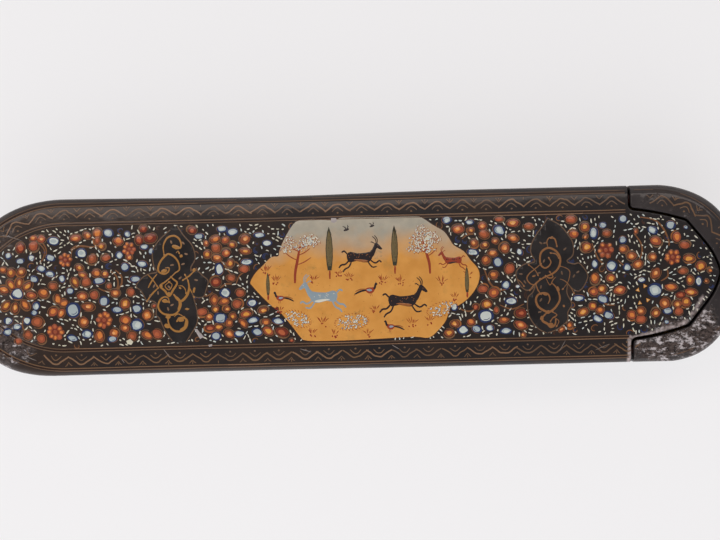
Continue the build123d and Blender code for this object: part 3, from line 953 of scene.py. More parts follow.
RIGHT_SCROLLS = [
    (1.1, [(548, 247), (547, 242), (549, 238), (552, 237)]),
    (1.6, [(551, 238), (555, 239), (557, 246)]),
    (2.1, [(549, 258), (551, 262), (549, 266), (545, 268), (541, 265), (540, 259), (541, 253), (545, 249),
           (550, 248), (556, 251), (560, 257), (560, 264), (557, 270), (552, 274), (545, 277), (540, 280),
           (534, 285), (530, 290)]),
    (1.2, [(551, 253), (556, 254), (559, 258)]),
    (1.2, [(541, 264), (535, 269), (529, 274), (527, 279), (531, 284), (536, 284), (540, 279)]),
    (0.9, [(529, 265), (535, 270), (538, 275)]),
    (0.9, [(546, 278), (550, 285), (553, 280), (556, 277)]),
    (1.3, [(550, 272), (553, 277), (549, 278), (546, 276)]),
    (1.2, [(536, 284), (538, 290), (541, 294)]),
    (2.3, [(552, 283), (556, 287), (559, 293), (560, 299), (558, 304), (554, 309), (549, 312), (543, 310),
           (538, 306), (536, 300), (538, 295), (543, 293), (548, 294), (550, 299), (548, 304)]),
    (2.5, [(548, 312), (543, 317), (543, 321), (548, 324), (551, 327), (555, 325), (556, 320)]),
    (1.2, [(553, 312), (557, 315), (553, 318), (551, 321)]),
    (0.8, [(554, 317), (559, 321), (557, 326)]),
    (0.8, [(560, 266), (566, 268), (570, 272), (568, 282), (563, 289)]),
    (0.8, [(560, 279), (565, 281), (570, 286), (574, 293)]),
    (0.8, [(517, 279), (521, 282), (524, 286)]),
]
RIGHT_BLOBS = [
    (551, 325, 3, 2.2, 0), (548, 312, 2.4, 1.8, 0), (545, 294, 2.6, 1.4, 15), (558, 289, 1.6, 2.6, -20),
    (542, 318, 1.8, 2.2, 0), (534, 276, 1.8, 0.9, -20), (564, 306, 1.1, 1.3, 0),
]
RIGHT_LEAVES = [
    (539, 273), (525, 282), (541, 300), (562, 273), (574, 276), (541, 243), (545, 243), (565, 249),
    (540, 312), (544, 261), (541, 287), (521, 274), (578, 272),
]

# The cartouche's outline, from the left round the top, and the rows where its sky starts and is full
CARTOUCHE = [
    (250, 282), (255, 273), (262, 266), (271, 257), (278, 256), (279, 251), (282, 243), (286, 235),
    (293, 224), (300, 220), (315, 219), (333, 220), (343, 217), (370, 217), (414, 216), (423, 218),
    (432, 224), (444, 231), (450, 239), (454, 245), (464, 251), (471, 260), (478, 268), (480, 276),
    (477, 287), (468, 299), (456, 307), (451, 307), (449, 313), (446, 321), (439, 330), (429, 338),
    (414, 337), (380, 339), (340, 341), (307, 341), (300, 337), (293, 328), (284, 317), (279, 311),
    (278, 307), (274, 308), (268, 303), (259, 294), (252, 286),
]
SKY_COLUMN = 365
SKY_LINE = 262
SKY_FULL = 226

# How many points of the cartouche's outline one brush line covers
OUTLINE_PIECE = 12

# Scroll stems among the flowers
STEMS = [
    [(37, 242), (42, 243), (46, 250), (45, 258)],
    [(71, 257), (72, 250), (80, 246), (90, 247), (97, 246)],
    [(115, 270), (121, 276), (121, 285), (114, 291), (107, 287)],
    [(217, 259), (228, 264), (236, 262), (242, 270)],
    [(200, 290), (206, 296), (213, 292)],
    [(462, 239), (467, 235), (474, 234)],
    [(592, 243), (598, 258), (604, 264)],
    [(640, 217), (655, 220), (664, 229), (669, 241), (669, 246)],
    [(634, 233), (641, 243), (642, 253), (637, 262), (626, 266), (618, 260)],
    [(667, 268), (668, 276), (661, 281)],
    [(208, 252), (219, 259), (226, 268), (232, 276)],
    [(38, 243), (44, 250), (43, 258), (39, 264)],
    [(70, 250), (76, 246), (84, 247)],
    [(110, 271), (116, 276), (118, 285), (114, 291), (105, 291), (98, 288)],
    [(454, 306), (466, 311), (474, 310), (481, 303)],
    [(484, 268), (490, 283), (499, 290), (510, 288)],
    [(232, 284), (226, 284), (220, 288)],
    [(118, 233), (121, 240), (115, 248)],
    [(24, 317), (22, 326), (26, 333)],
    [(600, 296), (606, 304), (615, 305)],
    [(250, 270), (240, 275), (236, 284)],
    [(500, 305), (512, 309), (524, 304)],
]

# The border: its lines' inset, width, layer and shades, and whether they run on over the head
BORDER_LINES = [
    (2.08, 0.8, 0, ["band"], False),
    (8.22, 0.85, 0, ["band"], False),
    (1.65, 0.26, 1, ["dull_gold", "dull_gold", "band"], True),
    (2.5, 0.3, 1, ["gold", "dull_gold", "stem"], False),
    (7.8, 0.3, 1, ["gold", "dull_gold", "stem"], False),
    (8.65, 0.28, 1, ["dull_gold", "dull_gold", "gold"], False),
]
LINE_STEP = 1.5

# How worn the top may be under each kind of mark
LINE_WEAR = 0.8
MARK_WEAR = 0.55
DOT_WEAR = 0.5
BUD_WEAR = 0.85
FIELD_WEAR = 0.6

# The border's wave: its length, one of its outer peaks along the top edge, and the marks in and beside it
# as shares of its length with their insets
WAVE_PERIOD = 7.8
WAVE_PEAK = 73.85
BOW_SIDE = [(0.52, 6.1), (0.36, 5.3), (0.2, 4.45)]
BOW_PEAK = (0.08, 3.9)
CURL = [(-0.22, 6.25), (-0.1, 5.35), (0, 5.0), (0.1, 5.35), (0.22, 6.25)]
LEAF_SIDES = [[(0.36, 3.2), (0.44, 3.7), (0.5, 4.35)], [(0.64, 3.2), (0.56, 3.7), (0.5, 4.35)]]
LEAF_VEIN = [(0.5, 3.0), (0.5, 3.4), (0.5, 3.8)]

# The black between the flowers: how often to try for a mark, and how much room each needs
DASH_TRIES = 5600
FILLER_TRIES = 700
BUD_SWELL = 1.03
FIELD_INSET = 9.4
FIELD_REACH = ((-112, 116), (-18.6, 18.6))
FILLER_GAP = 1.35
DASH_GAP = 0.45
DASH_SPACING = 1.04
DASH_COLUMN = 1.1
FOLLOWING_GAP = 1.1
DRIFT_WAVE = 14
NEIGHBOURS = 6


def lay_line(inset, width, layer, shades, on_head, dice):
    """A hand-drawn line round the top, in lengths that follow one another."""
    run = 0.0
    while run < RIM_LENGTH:
        count = dice.randint(8, 22)
        sway = dice.uniform(-0.07, 0.07)
        path = []
        for step in range(count + 1):
            point = rim(run + LINE_STEP * step, inset + sway * sin(pi * step / count))[0]
            if (not on_head and point.x > MOUTH_X - 0.3) or wear(point.x, point.y) > LINE_WEAR:
                break
            path.append(point)
        if len(path) > 3:
            stroke(dice.choice(shades), layer, path, width * dice.uniform(0.8, 1.15), taper=0.12)
        run += LINE_STEP * max(1, len(path) - 1.1)


def lay_border(dice):
    """The gold lines, the wave and its small marks round the top."""
    for line in BORDER_LINES:
        lay_line(*line, dice)
    periods = round(RIM_LENGTH / WAVE_PERIOD)
    period = RIM_LENGTH / periods
    phase = (HEAD_CENTRE + WAVE_PEAK) % period

    def mark(start, corners, shade, width, taper):
        path = [rim(start + part * period, inset + dice.uniform(-0.15, 0.15))[0] for part, inset in corners]
        if wear(path[1].x, path[1].y) < MARK_WEAR:
            stroke(shade, 0, curve(path, 4), width, taper=taper)

    for number in range(periods):
        start = phase + number * period + dice.uniform(-0.4, 0.4)
        head = rim(start, 5)[0].x > MOUTH_X
        if head and dice.random() < 0.15:
            continue
        shades = ["dull_gold", "stem", "dull_gold"] if head else ["gold", "gold", "dull_gold", "stem"]
        shade = dice.choice(shades)
        half = [*BOW_SIDE, (BOW_PEAK[0], BOW_PEAK[1] + dice.uniform(-0.2, 0.2))]
        bow = [(-part, inset) for part, inset in half] + half[::-1]
        mark(start, bow, shade, dice.uniform(0.52, 0.68), 0.15)
        small = "dull_gold" if dice.random() < 0.6 else "stem"
        mark(start, CURL, small, 0.42, 0.4)
        dot = rim(start + dice.uniform(-0.15, 0.15), 6.6)[0]
        if wear(dot.x, dot.y) < DOT_WEAR:
            daub(small, 0, oval(dot, 0.36, 0.3, 0, 8, 0.1, dice))
        if dice.random() < 0.85:
            for side in LEAF_SIDES:
                mark(start, side, small, 0.4, 0.6)
        if dice.random() < 0.6:
            mark(start, LEAF_VEIN, "stem", 0.34, 0.5)


def medallion_rim(outlines):
    """The four outlines of a medallion joined into one, in millimetres."""
    upper_right, lower_right, upper_left, lower_left = outlines
    return [on_box(*point) for point in (*upper_right, *lower_right, *lower_left[::-1], *upper_left[::-1])]


def lay_medallion(outlines, scrolls, blobs, leaves, bright, dull, dice):
    """Gold scrollwork inside thin brown outlines."""
    for outline in outlines:
        stroke("dull_gold", 2, traced(outline, 4), 0.34, taper=0.1)
    for width, points in scrolls:
        path = traced(points)
        stroke(dull, 1, path, width * PIXEL * 1.25, taper=0.6)
        stroke(bright, 2, path, width * PIXEL * 0.95, taper=0.75)
        for end, way in ((path[0], path[0] - path[3]), (path[-1], path[-1] - path[-4])):
            if dice.random() < 0.7:
                daub(bright, 2, oval(end, 0.42, 0.26, atan2(way.y, way.x), 10, 0.08, dice))
    for px, py, a, b, turn in blobs:
        daub(bright, 2, oval(on_box(px, py), a * PIXEL, b * PIXEL, -radians(turn), 14, 0.1, dice))
    for point in leaves:
        daub(dull, 2, oval(on_box(*point), 0.6, 0.28, dice.uniform(0, pi), 10, 0.06, dice))


def lay_great_flower(taken, dice):
    """The large flower at the tail: orange petals round a blue heart."""
    px, py, radius = GREAT_HEART
    middle = on_box(px, py)
    radius *= PIXEL
    long, wide = GREAT_PETAL
    for petal in GREAT_PETALS:
        centre = on_box(*petal)
        away = centre - middle
        angle = atan2(away.y, away.x)
        blossom("orange", centre, long, wide, angle, dice)
        stroke("sepal", 0, arc_path(centre, long + 0.35, wide + 0.4, angle, -2.2, 4.4, 13), 0.34, taper=0.3)
        taken.append((centre, long, wide, angle))
    daub("sepal", 0, oval(middle, radius * 1.3, radius * 1.3, 0, 20, 0.03, dice))
    blossom("blue", middle, radius, radius, 0, dice)
    taken.append((middle, radius, radius, 0.0))


def lay_flowers(dice):
    """The flowers on the top, and the places that they take."""
    taken = []
    for stem in STEMS:
        stroke("sepal", 0, traced(stem, 6), dice.uniform(0.55, 0.8), taper=0.6)
    for px, py, radius, petals in ROSETTES:
        middle = on_box(px, py)
        rosette(middle, radius * PIXEL, petals, dice)
        taken.append((middle, radius * PIXEL, radius * PIXEL, 0.0))
    lay_great_flower(taken, dice)
    for point in TRIANGLES:
        middle = on_box(*point)
        turn = dice.uniform(0, tau)
        daub("umber", 1, oval(middle, 0.95, 0.95, turn, 3))
        daub("amber", 2, oval(middle, 0.8, 0.8, turn, 3))
        daub("ivory", 3, oval(middle, 0.22, 0.2, 0, 7))
        taken.append((middle, 0.9, 0.9, 0.0))
    for kind, buds in (("brick", BRICK_BUDS), ("orange", ORANGE_BUDS), ("blue", BLUE_BUDS)):
        for px, py, a, b, *turn in buds:
            middle = on_box(px, py)
            bud = (middle, a * PIXEL * BUD_SWELL, b * PIXEL * BUD_SWELL, -radians(turn[0]) if turn else 0.0)
            if wear(middle.x, middle.y) <= BUD_WEAR and blossom(kind, *bud, dice):
                taken.append(bud)
    return taken


def nearest(point, taken):
    """How far outside the nearest flower a point lies, and the way to it from that flower."""
    best = (99.0, Vector((1, 0)))
    for middle, a, b, turn in taken:
        away = point - middle
        if abs(away.x) > NEIGHBOURS or abs(away.y) > NEIGHBOURS:
            continue
        x = away.x * cos(turn) + away.y * sin(turn)
        y = away.y * cos(turn) - away.x * sin(turn)
        share = hypot(x / a, y / b)
        gap = away.length * (1 - 1 / share) if share > 1e-6 else -a
        if gap < best[0]:
            best = (gap, away.normalized())
    return best


def lay_fillers(taken, field, dice):
    """Small dim buds and curled leaves in the widest gaps."""
    for _ in range(FILLER_TRIES):
        point = field(dice)
        if point is None:
            continue
        gap = nearest(point, taken)[0]
        if gap < FILLER_GAP:
            continue
        size = dice.uniform(0.65, min(1.15, gap - 0.45))
        turn = dice.uniform(0, pi)
        if dice.random() < 0.3:
            kind = dice.choice(["blue", "blue", "orange", "brick"])
            blossom(kind, point, size, size * dice.uniform(0.65, 0.9), turn, dice)
        else:
            outer = dice.choice(["sepal", "umber", "navy"])
            sweep = dice.uniform(2.6, 5.4)
            stroke(outer, 0, arc_path(point, size, size * 0.8, turn, 0, sweep), 0.44, taper=0.6)
            inner = dice.choice(["umber", "navy"])
            stroke(inner, 0, arc_path(point, size * 0.5, size * 0.35, turn, 1, 3.4), 0.4, taper=0.6)
        taken.append((point, size, size * 0.85, turn))


def lay_dashes(tries, taken, field, dice, at=on_top):
    """Small pale strokes in short rows, in the black between the flowers."""
    laid = []

    def free(point):
        if nearest(point, taken)[0] < DASH_GAP:
            return False
        beside = (other for other in laid if abs(point.x - other.x) < DASH_COLUMN)
        return all((point - other).length > DASH_SPACING for other in beside)

    for _ in range(tries):
        point = field(dice)
        if point is None:
            continue
        gap, away = nearest(point, taken)
        drift = pi * noise.noise(Vector((point.x, point.y, 0)) / DRIFT_WAVE)
        angle = (atan2(away.x, -away.y) if gap < FOLLOWING_GAP else drift) + dice.gauss(0, 0.3)
        for _ in range(dice.choice([1, 2, 2, 3, 3, 4])):
            along = Vector((cos(angle), sin(angle)))
            left = Vector((-along.y, along.x))
            if not free(point) or not field(dice, point):
                break
            long = dice.choice([dice.uniform(0.6, 0.9), dice.uniform(0.9, 1.5)])
            bend = left * dice.uniform(-0.14, 0.14)
            shade = dice.choice(["cream", "cream", "cream", "ivory", "frost"])
            path = [point - along * long / 2, point - along * long / 6 + bend,
                    point + along * long / 6 + bend, point + along * long / 2]
            if stroke(shade, 0, path, dice.uniform(0.38, 0.62), at, whole=True):
                laid.append(point)
            if dice.random() < 0.6:
                point = point + along * (long / 2 + dice.uniform(0.9, 1.3))
            else:
                side = left * dice.uniform(1.06, 1.2)
                point = point + side + along * dice.uniform(-0.3, 0.3)
            angle += dice.uniform(-0.2, 0.2)


def top_field(shut):
    """Draws places at random in the top's flower field, or says whether a place lies in it."""
    def draw(dice, point=None):
        point = point or Vector([dice.uniform(*reach) for reach in FIELD_REACH])
        if side_depth(point.x, point.y)[0] < FIELD_INSET or wear(point.x, point.y) > FIELD_WEAR:
            return None
        return None if any(inside(point, outline) for outline in shut) else point
    return draw


# The garden in the cartouche, in millimetres from its middle
GARDEN_MIDDLE = on_box(365, 279)
CYPRESSES = [(-11.0, 2.6, 14.5), (9.5, 3.6, 13.5), (32.0, -5.2, 8.6), (-30.5, -4.6, 7.5)]
TREES = [(-22.0, -0.8, 11.5, 1.8), (20.5, 1.2, 10.8, -2.0)]
SHRUBS = [(-4.5, -13.4, 4.8, 2.2, 0.1), (24.0, -10.0, 4.4, 1.9, 0.25), (-21.5, -12.0, 4.0, 2.1, -0.35)]
GAZELLES = [
    (-1.2, 6.6, 13.5, 1, "soot", "fawn"),
    (-13.5, -5.6, 14.5, -1, "dove", "cream"),
    (12.0, -7.4, 15.0, 1, "soot", "fawn"),
    (27.6, 5.0, 9.0, -1, "bark", "soot"),
]
PHEASANTS = [(1.2, -3.6, 7.5, 1), (-26.5, -5.4, 6.5, -1), (8.0, -15.2, 6.5, -1)]
BIRDS = [(-5.5, 15.6, 1.9), (2.6, 16.6, 1.6)]
TUFTS = [
    (-31.0, 3.2, 2.8), (-28.0, 0.2, 2.6), (-16.0, 0.2, 2.6), (-5.0, 0.8, 2.4), (5.5, -0.6, 2.6),
    (11.0, -1.0, 2.4), (32.5, 0.6, 2.6), (24.0, -1.4, 2.8), (-13.5, -13.2, 3.0), (3.0, -9.6, 2.4),
    (14.5, -14.2, 3.0), (20.0, -13.6, 2.6), (-10.0, -17.0, 2.4), (0.5, -17.2, 2.4), (-27.0, -9.2, 2.4),
    (-17.0, -16.6, 2.6), (-8.2, 1.8, 2.0), (28.0, -6.4, 2.2),
]
GRASS_BLADES = 70

# A running gazelle, in shares of its length: lines with their widths, and filled forms
GAZELLE_LEGS = [
    (0.05, [(0.2, -0.03), (0.33, -0.12), (0.43, -0.07), (0.48, -0.11)]),
    (0.045, [(0.15, -0.06), (0.26, -0.21), (0.37, -0.2)]),
    (0.055, [(-0.24, 0.0), (-0.35, -0.13), (-0.45, -0.15), (-0.51, -0.22)]),
    (0.05, [(-0.2, -0.03), (-0.27, -0.19), (-0.37, -0.25), (-0.42, -0.32)]),
]
GAZELLE_FORMS = [
    [(-0.34, 0.03), (-0.28, -0.1), (-0.1, -0.07), (0.08, -0.11), (0.22, -0.09), (0.3, 0.04), (0.27, 0.15),
     (0.12, 0.13), (-0.08, 0.12), (-0.24, 0.16), (-0.32, 0.12)],
    [(0.16, 0.08), (0.24, 0.0), (0.31, 0.05), (0.37, 0.2), (0.4, 0.26), (0.32, 0.3), (0.27, 0.2)],
    [(0.31, 0.27), (0.38, 0.23), (0.47, 0.18), (0.51, 0.2), (0.48, 0.25), (0.4, 0.34), (0.34, 0.35)],
]
GAZELLE_POINTS = [
    (0.03, [(0.33, 0.33), (0.27, 0.37), (0.24, 0.36)]),
    (0.028, [(0.37, 0.33), (0.35, 0.43), (0.28, 0.5)]),
    (0.028, [(0.39, 0.33), (0.39, 0.44), (0.33, 0.52)]),
    (0.05, [(-0.31, 0.1), (-0.38, 0.17), (-0.44, 0.14)]),
]
GAZELLE_BELLY = [(-0.18, -0.04), (-0.08, -0.06), (0.08, -0.095), (0.18, -0.07), (0.1, -0.04), (-0.08, -0.02)]
GAZELLE_EYE = (0.41, 0.275)
GAZELLE_SPOTS = 14

# A pheasant, likewise: body, head and wing
PHEASANT_BODY = [
    (-0.18, 0.03), (-0.05, -0.13), (0.14, -0.12), (0.25, 0.02), (0.27, 0.15), (0.12, 0.13), (-0.06, 0.12),
]
PHEASANT_HEAD = [
    (0.17, 0.05), (0.27, 0.06), (0.31, 0.2), (0.36, 0.26), (0.3, 0.33), (0.24, 0.28), (0.21, 0.16),
]
PHEASANT_WING = [(-0.12, 0.03), (0.02, -0.05), (0.14, 0.0), (0.04, 0.07)]


def spot(x, y):
    """A place in the garden."""
    return GARDEN_MIDDLE + Vector((x, y))


def cypress(x, y, tall, dice):
    """A narrow dark tree on a short red stem."""
    wide = tall * 0.085
    outline = []
    for side in (1, -1):
        for part in (0.0, 0.12, 0.3, 0.5, 0.7, 0.86, 1.0):
            part = part if side == 1 else 1 - part
            half = wide * sin(pi * min(1, 0.12 + part * 0.88)) ** 0.7 if part < 1 else 0.02
            outline.append(spot(x + side * half + dice.uniform(-0.04, 0.04), y + part * tall))
    stroke("bark", 1, [spot(x, y - tall * 0.16), spot(x, y - tall * 0.06), spot(x, y + 0.3)], 0.8, taper=0.3)
    daub("cypress_dark", 1, outline)
    middle = sum(outline, Vector((0, 0))) / len(outline)
    daub("cypress", 2, [middle + (point - middle) * 0.8 for point in outline])
    for _ in range(int(tall * 3)):
        part = dice.uniform(0.08, 0.85)
        base = spot(x + dice.uniform(-0.6, 0.6) * wide, y + part * tall)
        stroke("cypress_dark", 3, [base, base + Vector((0.08, 0.5))], 0.12, taper=0.4)


def tufts(x, y, wide, dice):
    """A fan of small red leaves with berries under it."""
    blades = dice.randint(4, 7)
    for blade in range(blades):
        lean = 2 * blade / (blades - 1) - 1 + dice.gauss(0, 0.16)
        base = spot(x + lean * wide * 0.22, y + dice.uniform(-0.15, 0.15))
        tip = base + Vector((lean * wide * 0.45, wide * (0.72 - 0.24 * abs(lean)) * dice.uniform(0.6, 1.2)))
        bend = Vector((dice.uniform(-0.12, 0.12), 0.1))
        stroke("tuft", 1, [base, base.lerp(tip, 0.5) + bend, tip], dice.uniform(0.24, 0.42), taper=0.7)
    for _ in range(dice.randint(3, 6)):
        centre = spot(x + dice.uniform(-0.4, 0.4) * wide, y - dice.uniform(0.12, 0.5) * wide)
        daub("tuft", 1, oval(centre, 0.3, 0.24, dice.uniform(0, pi), 7))


def dotted(points, rims, dice):
    """A crown of pale dots with thin dark red strokes."""
    for point in points:
        shade = dice.choice(["cream", "cream", "cream", "ivory", "ivory", "dove", "frost"])
        size = dice.uniform(0.17, 0.3)
        if inside(point, cartouche):
            daub("fawn", 2, oval(point + Vector((0.05, -0.06)), size * 1.4, size * 1.25, 0, 7))
            daub(shade, 3, oval(point, size, size * 0.85, dice.uniform(0, pi), 7))
    for start, end in rims:
        if inside(end, cartouche):
            stroke("tuft", 1, [start, start.lerp(end, 0.5), end], 0.24, taper=0.5)


def shrub(x, y, a, b, turn, dice):
    """An oval bush of pale dots rimmed with red strokes."""
    points, rims = [], []
    middle = spot(x, y)
    for _ in range(int(a * b * 9)):
        angle, reach = dice.uniform(0, tau), sqrt(dice.random())
        points.append(middle + turned(a * reach * cos(angle), b * reach * sin(angle), turn))
    count = int(4.5 * (a + b))
    for step in range(count):
        angle = tau * step / count
        inner = middle + turned(a * 1.05 * cos(angle), b * 1.05 * sin(angle), turn)
        outer = middle + turned(a * 1.18 * cos(angle + 0.1), b * 1.28 * sin(angle + 0.1), turn)
        rims.append((inner, outer))
    dotted(points, rims, dice)


def tree(x, y, tall, lean, dice):
    """A curved red trunk with a loose crown of flowers."""
    bends = ((0, 0), (0.1, 0.3), (0.5, 0.6), (1, 1))
    trunk = [spot(x + lean * aside, y + tall * part) for aside, part in bends]
    stroke("bark", 1, curve(trunk), 1.15, taper=0.4)
    for side, part in ((1, 0.5), (-1, 0.62), (1, 0.76), (-1, 0.86), (1, 0.95)):
        base = spot(x + lean * part * 0.9, y + tall * part)
        tip = base + Vector((side * tall * dice.uniform(0.24, 0.44), tall * dice.uniform(0.12, 0.3)))
        stroke("bark", 1, curve([base, base.lerp(tip, 0.5) + Vector((0, -0.3)), tip], 4), 0.45, taper=0.6)
    points, rims = [], []
    for _ in range(9):
        angle, share = dice.uniform(0, tau), sqrt(dice.random())
        across = cos(angle) * share * tall * 0.52
        middle = spot(x + lean + across, y + tall * (0.98 + sin(angle) * share * 0.34))
        reach = tall * dice.uniform(0.13, 0.24)
        for _ in range(int(reach**2 * 6.5)):
            angle, share = dice.uniform(0, tau), sqrt(dice.random())
            point = middle + Vector((cos(angle), sin(angle) * 0.75)) * reach * share
            points.append(point)
            if dice.random() < 0.4:
                start = point + Vector((dice.uniform(-0.3, 0.3), -0.2))
                rims.append((start, start + Vector((dice.uniform(-0.35, 0.35), -0.45))))
    dotted(points, rims, dice)


def figure(x, y, long, facing):
    """Three ways to paint an animal in shares of its length: a place, a line and a filled form."""
    def at(u, v):
        return spot(x + facing * u * long, y + v * long)

    def line(shade, width, points, taper=0.35):
        stroke(shade, 1, curve([at(*point) for point in points], 4), width * long, taper=taper)

    def fill(shade, points, layer=1):
        outline = curve([at(*point) for point in points], 2, closed=True)
        daub(shade, layer, outline if facing > 0 else outline[::-1])

    return at, line, fill


def gazelle(x, y, long, facing, body, trim, dice):
    """A leaping gazelle."""
    at, line, fill = figure(x, y, long, facing)
    for width, points in GAZELLE_LEGS:
        line(body, width, points)
    for points in GAZELLE_FORMS:
        fill(body, points)
    for width, points in GAZELLE_POINTS:
        line(body, width, points)
    fill(trim, GAZELLE_BELLY, 2)
    daub(trim, 3, oval(at(*GAZELLE_EYE), 0.13, 0.12, 0, 7))
    for _ in range(GAZELLE_SPOTS):
        daub(trim, 3, oval(at(dice.uniform(-0.28, 0.24), dice.uniform(0.01, 0.11)), 0.15, 0.12, 0, 7))


def pheasant(x, y, long, facing):
    """A red pheasant on the ground."""
    at, line, fill = figure(x, y, long, facing)
    line("soot", 0.11, [(-0.05, 0.02), (-0.35, -0.03), (-0.62, -0.16)], 0.7)
    line("fawn", 0.07, [(-0.05, 0.05), (-0.35, 0.05), (-0.58, -0.04)], 0.7)
    fill("bark", PHEASANT_BODY)
    fill("soot", PHEASANT_HEAD, 2)
    fill("dove", PHEASANT_WING, 2)
    for u in (0.03, 0.1):
        stroke("bark", 1, [at(u, -0.1), at(u + 0.01, -0.17), at(u + 0.03, -0.25)], 0.2, taper=0.3)


def bird(x, y, size):
    """A small bird with raised wings."""
    daub("soot", 2, oval(spot(x, y), size * 0.5, size * 0.2, 0.3, 9))
    for width, wing in ((0.2, [(-0.2, 0.4), (-0.6, 0.6)]), (0.18, [(0.3, 0.5), (0.2, 0.8)])):
        path = [spot(x + size * u, y + size * v) for u, v in [(0, 0), *wing]]
        stroke("soot", 2, path, size * width, taper=0.6)


def lay_garden(dice):
    """Trees, shrubs, birds and running gazelles over the cartouche's ground."""
    for each, places in ((cypress, CYPRESSES), (tree, TREES), (shrub, SHRUBS), (gazelle, GAZELLES)):
        for place in places:
            each(*place, dice)
    for place in PHEASANTS:
        pheasant(*place)
    for place in BIRDS:
        bird(*place)
    for place in TUFTS:
        tufts(*place, dice)
    for _ in range(GRASS_BLADES):
        base = spot(dice.uniform(-32, 32), dice.uniform(-17.5, 5))
        if inside(base, cartouche):
            tip = base + Vector((dice.uniform(-0.3, 0.5), dice.uniform(0.15, 0.4)))
            stroke("tuft", 1, [base, tip], 0.2, taper=0.5)


# The sides: a band of the same flowers between gold lines, given by height, width and shade
BAND_LOW = 8.2
BAND_HIGH = 33.4
BUD_MARGIN = 2.4
DASH_MARGIN = 0.9
SIDE_STEP = 0.8
SIDE_TRIES = 7000
SIDE_LINES = [
    (4.4, 0.26, "dull_gold"), (6.9, 0.26, "dull_gold"), (BAND_LOW, 0.34, "gold"), (BAND_HIGH, 0.34, "gold"),
    (34.7, 0.26, "dull_gold"), (36.6, 0.24, "dull_gold"),
]


def lay_side_line(z, width, shade, dice):
    """A hand-drawn line round the sides, in lengths that follow one another."""
    run = 0.0
    while run < RIM_LENGTH:
        count = dice.randint(16, 44)
        sway = dice.uniform(-0.08, 0.08)
        path = []
        for step in range(count + 1):
            path.append(Vector((run + SIDE_STEP * step, z + sway * sin(pi * step / count))))
        stroke(dice.choice([shade, shade, "stem"]), 0, path, width * dice.uniform(0.85, 1.1), on_side, 0.1)
        run += SIDE_STEP * (count - 0.2)


def lay_sides(dice):
    """Flowers, dashes and lines round the sides."""
    for line in SIDE_LINES:
        lay_side_line(*line, dice)
    taken = []
    for _ in range(SIDE_TRIES):
        run = dice.uniform(0, RIM_LENGTH)
        middle = Vector((run, dice.uniform(BAND_LOW + BUD_MARGIN, BAND_HIGH - BUD_MARGIN)))
        a = dice.uniform(1.05, 1.75)
        b = a * dice.uniform(0.7, 1.0)
        near = min(
            ((middle - other).length - size for other, size, _, _ in taken
             if abs(middle.x - other.x) < NEIGHBOURS),
            default=9,
        )
        if near < a + dice.uniform(0.0, 0.5):
            continue
        kind = dice.choice(["orange"] * 5 + ["blue"] * 4 + ["brick"] * 2)
        turn = dice.uniform(0, pi)
        if blossom(kind, middle, a, b, turn, dice, on_side, 11):
            taken.append((middle, a, b, turn))

    def field(dice, point=None):
        point = point or Vector((dice.uniform(0, RIM_LENGTH), dice.uniform(BAND_LOW, BAND_HIGH)))
        return point if BAND_LOW + DASH_MARGIN < point.y < BAND_HIGH - DASH_MARGIN else None

    lay_dashes(SIDE_TRIES, taken, field, dice, on_side)


# Chips and scratches
CHIPS = [
    ("chipped", [(331, 218), (336, 218), (337, 221), (334, 223), (331, 222)]),
    ("chipped", [(194, 329), (197, 329), (200, 333), (204, 337), (200, 339), (198, 336), (196, 332)]),
    ("chipped", [(208, 345), (212, 344), (212, 346), (209, 347)]),
    ("ivory", [(126, 341), (130, 339), (133, 342), (131, 345), (127, 344)]),
]
SCRATCHES = [
    [(0, 235), (10, 237), (22, 241)],
    [(121, 359), (124, 363)],
    [(163, 349), (170, 358)],
    [(392, 345), (399, 349)],
    [(560, 351), (566, 340)],
    [(300, 349), (311, 352)],
    [(596, 350), (610, 344)],
    [(24, 356), (36, 361)],
]


def lay_wear(dice):
    """Chips of bare ground and fine scratches."""
    for shade, outline in CHIPS:
        daub(shade, 3, [on_box(*point) for point in outline][::-1])
    for scratch in SCRATCHES:
        stroke("rubbed", 2, traced(scratch), dice.uniform(0.14, 0.24), taper=0.8)


# The ink wad: a tangle of black silk in place of the plain solid
WAD_STEP = 1.2
WAD_LUMP = 2.2
WAD_SINK = 0.9
WAD_SHRINK = 0.04
WAD_STRANDS = 170
STRAND_POINTS = 22
STRAND_STEP = 0.55
STRAND_WANDER = 0.42
STRAND_RADIUS = 0.13
STRAND_DEPTH = 0.7
STRAND_LIFT = 0.35


def make_wad():
    """Loops of silk thread over a lumpy core."""
    low, high = (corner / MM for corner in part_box("ink_wad"))
    dice = Random(WAD_SEED)
    form = form_of("ink_wad")
    centre = (low + high) / 2
    for axis in range(3):
        cut_across(form, axis, low, high, WAD_STEP)
    for vertex in form.verts:
        sink = 0.5 + 0.5 * noise.noise(vertex.co / WAD_LUMP)
        if vertex.co.z > low.z + 0.5:
            vertex.co.z -= sink * WAD_SINK
        vertex.co += (centre - vertex.co) * WAD_SHRINK
    core_top = high.z - STRAND_DEPTH
    for _ in range(WAD_STRANDS):
        x = dice.uniform(low.x + 3, high.x - 5)
        y = dice.uniform(low.y + 4, high.y - 4) * 0.9
        heading = dice.uniform(0, tau)
        path = []
        for step in range(STRAND_POINTS):
            heading += dice.gauss(0, STRAND_WANDER)
            x += cos(heading) * STRAND_STEP
            y += sin(heading) * STRAND_STEP
            x = min(max(x, low.x + 2.5), high.x - 4)
            y = min(max(y, low.y + 4), high.y - 4)
            lift = STRAND_LIFT * sin(step * 0.9 + heading)
            path.append(Vector((x, y, core_top + lift)))
        tube(form, path, STRAND_RADIUS, 4)
    return form


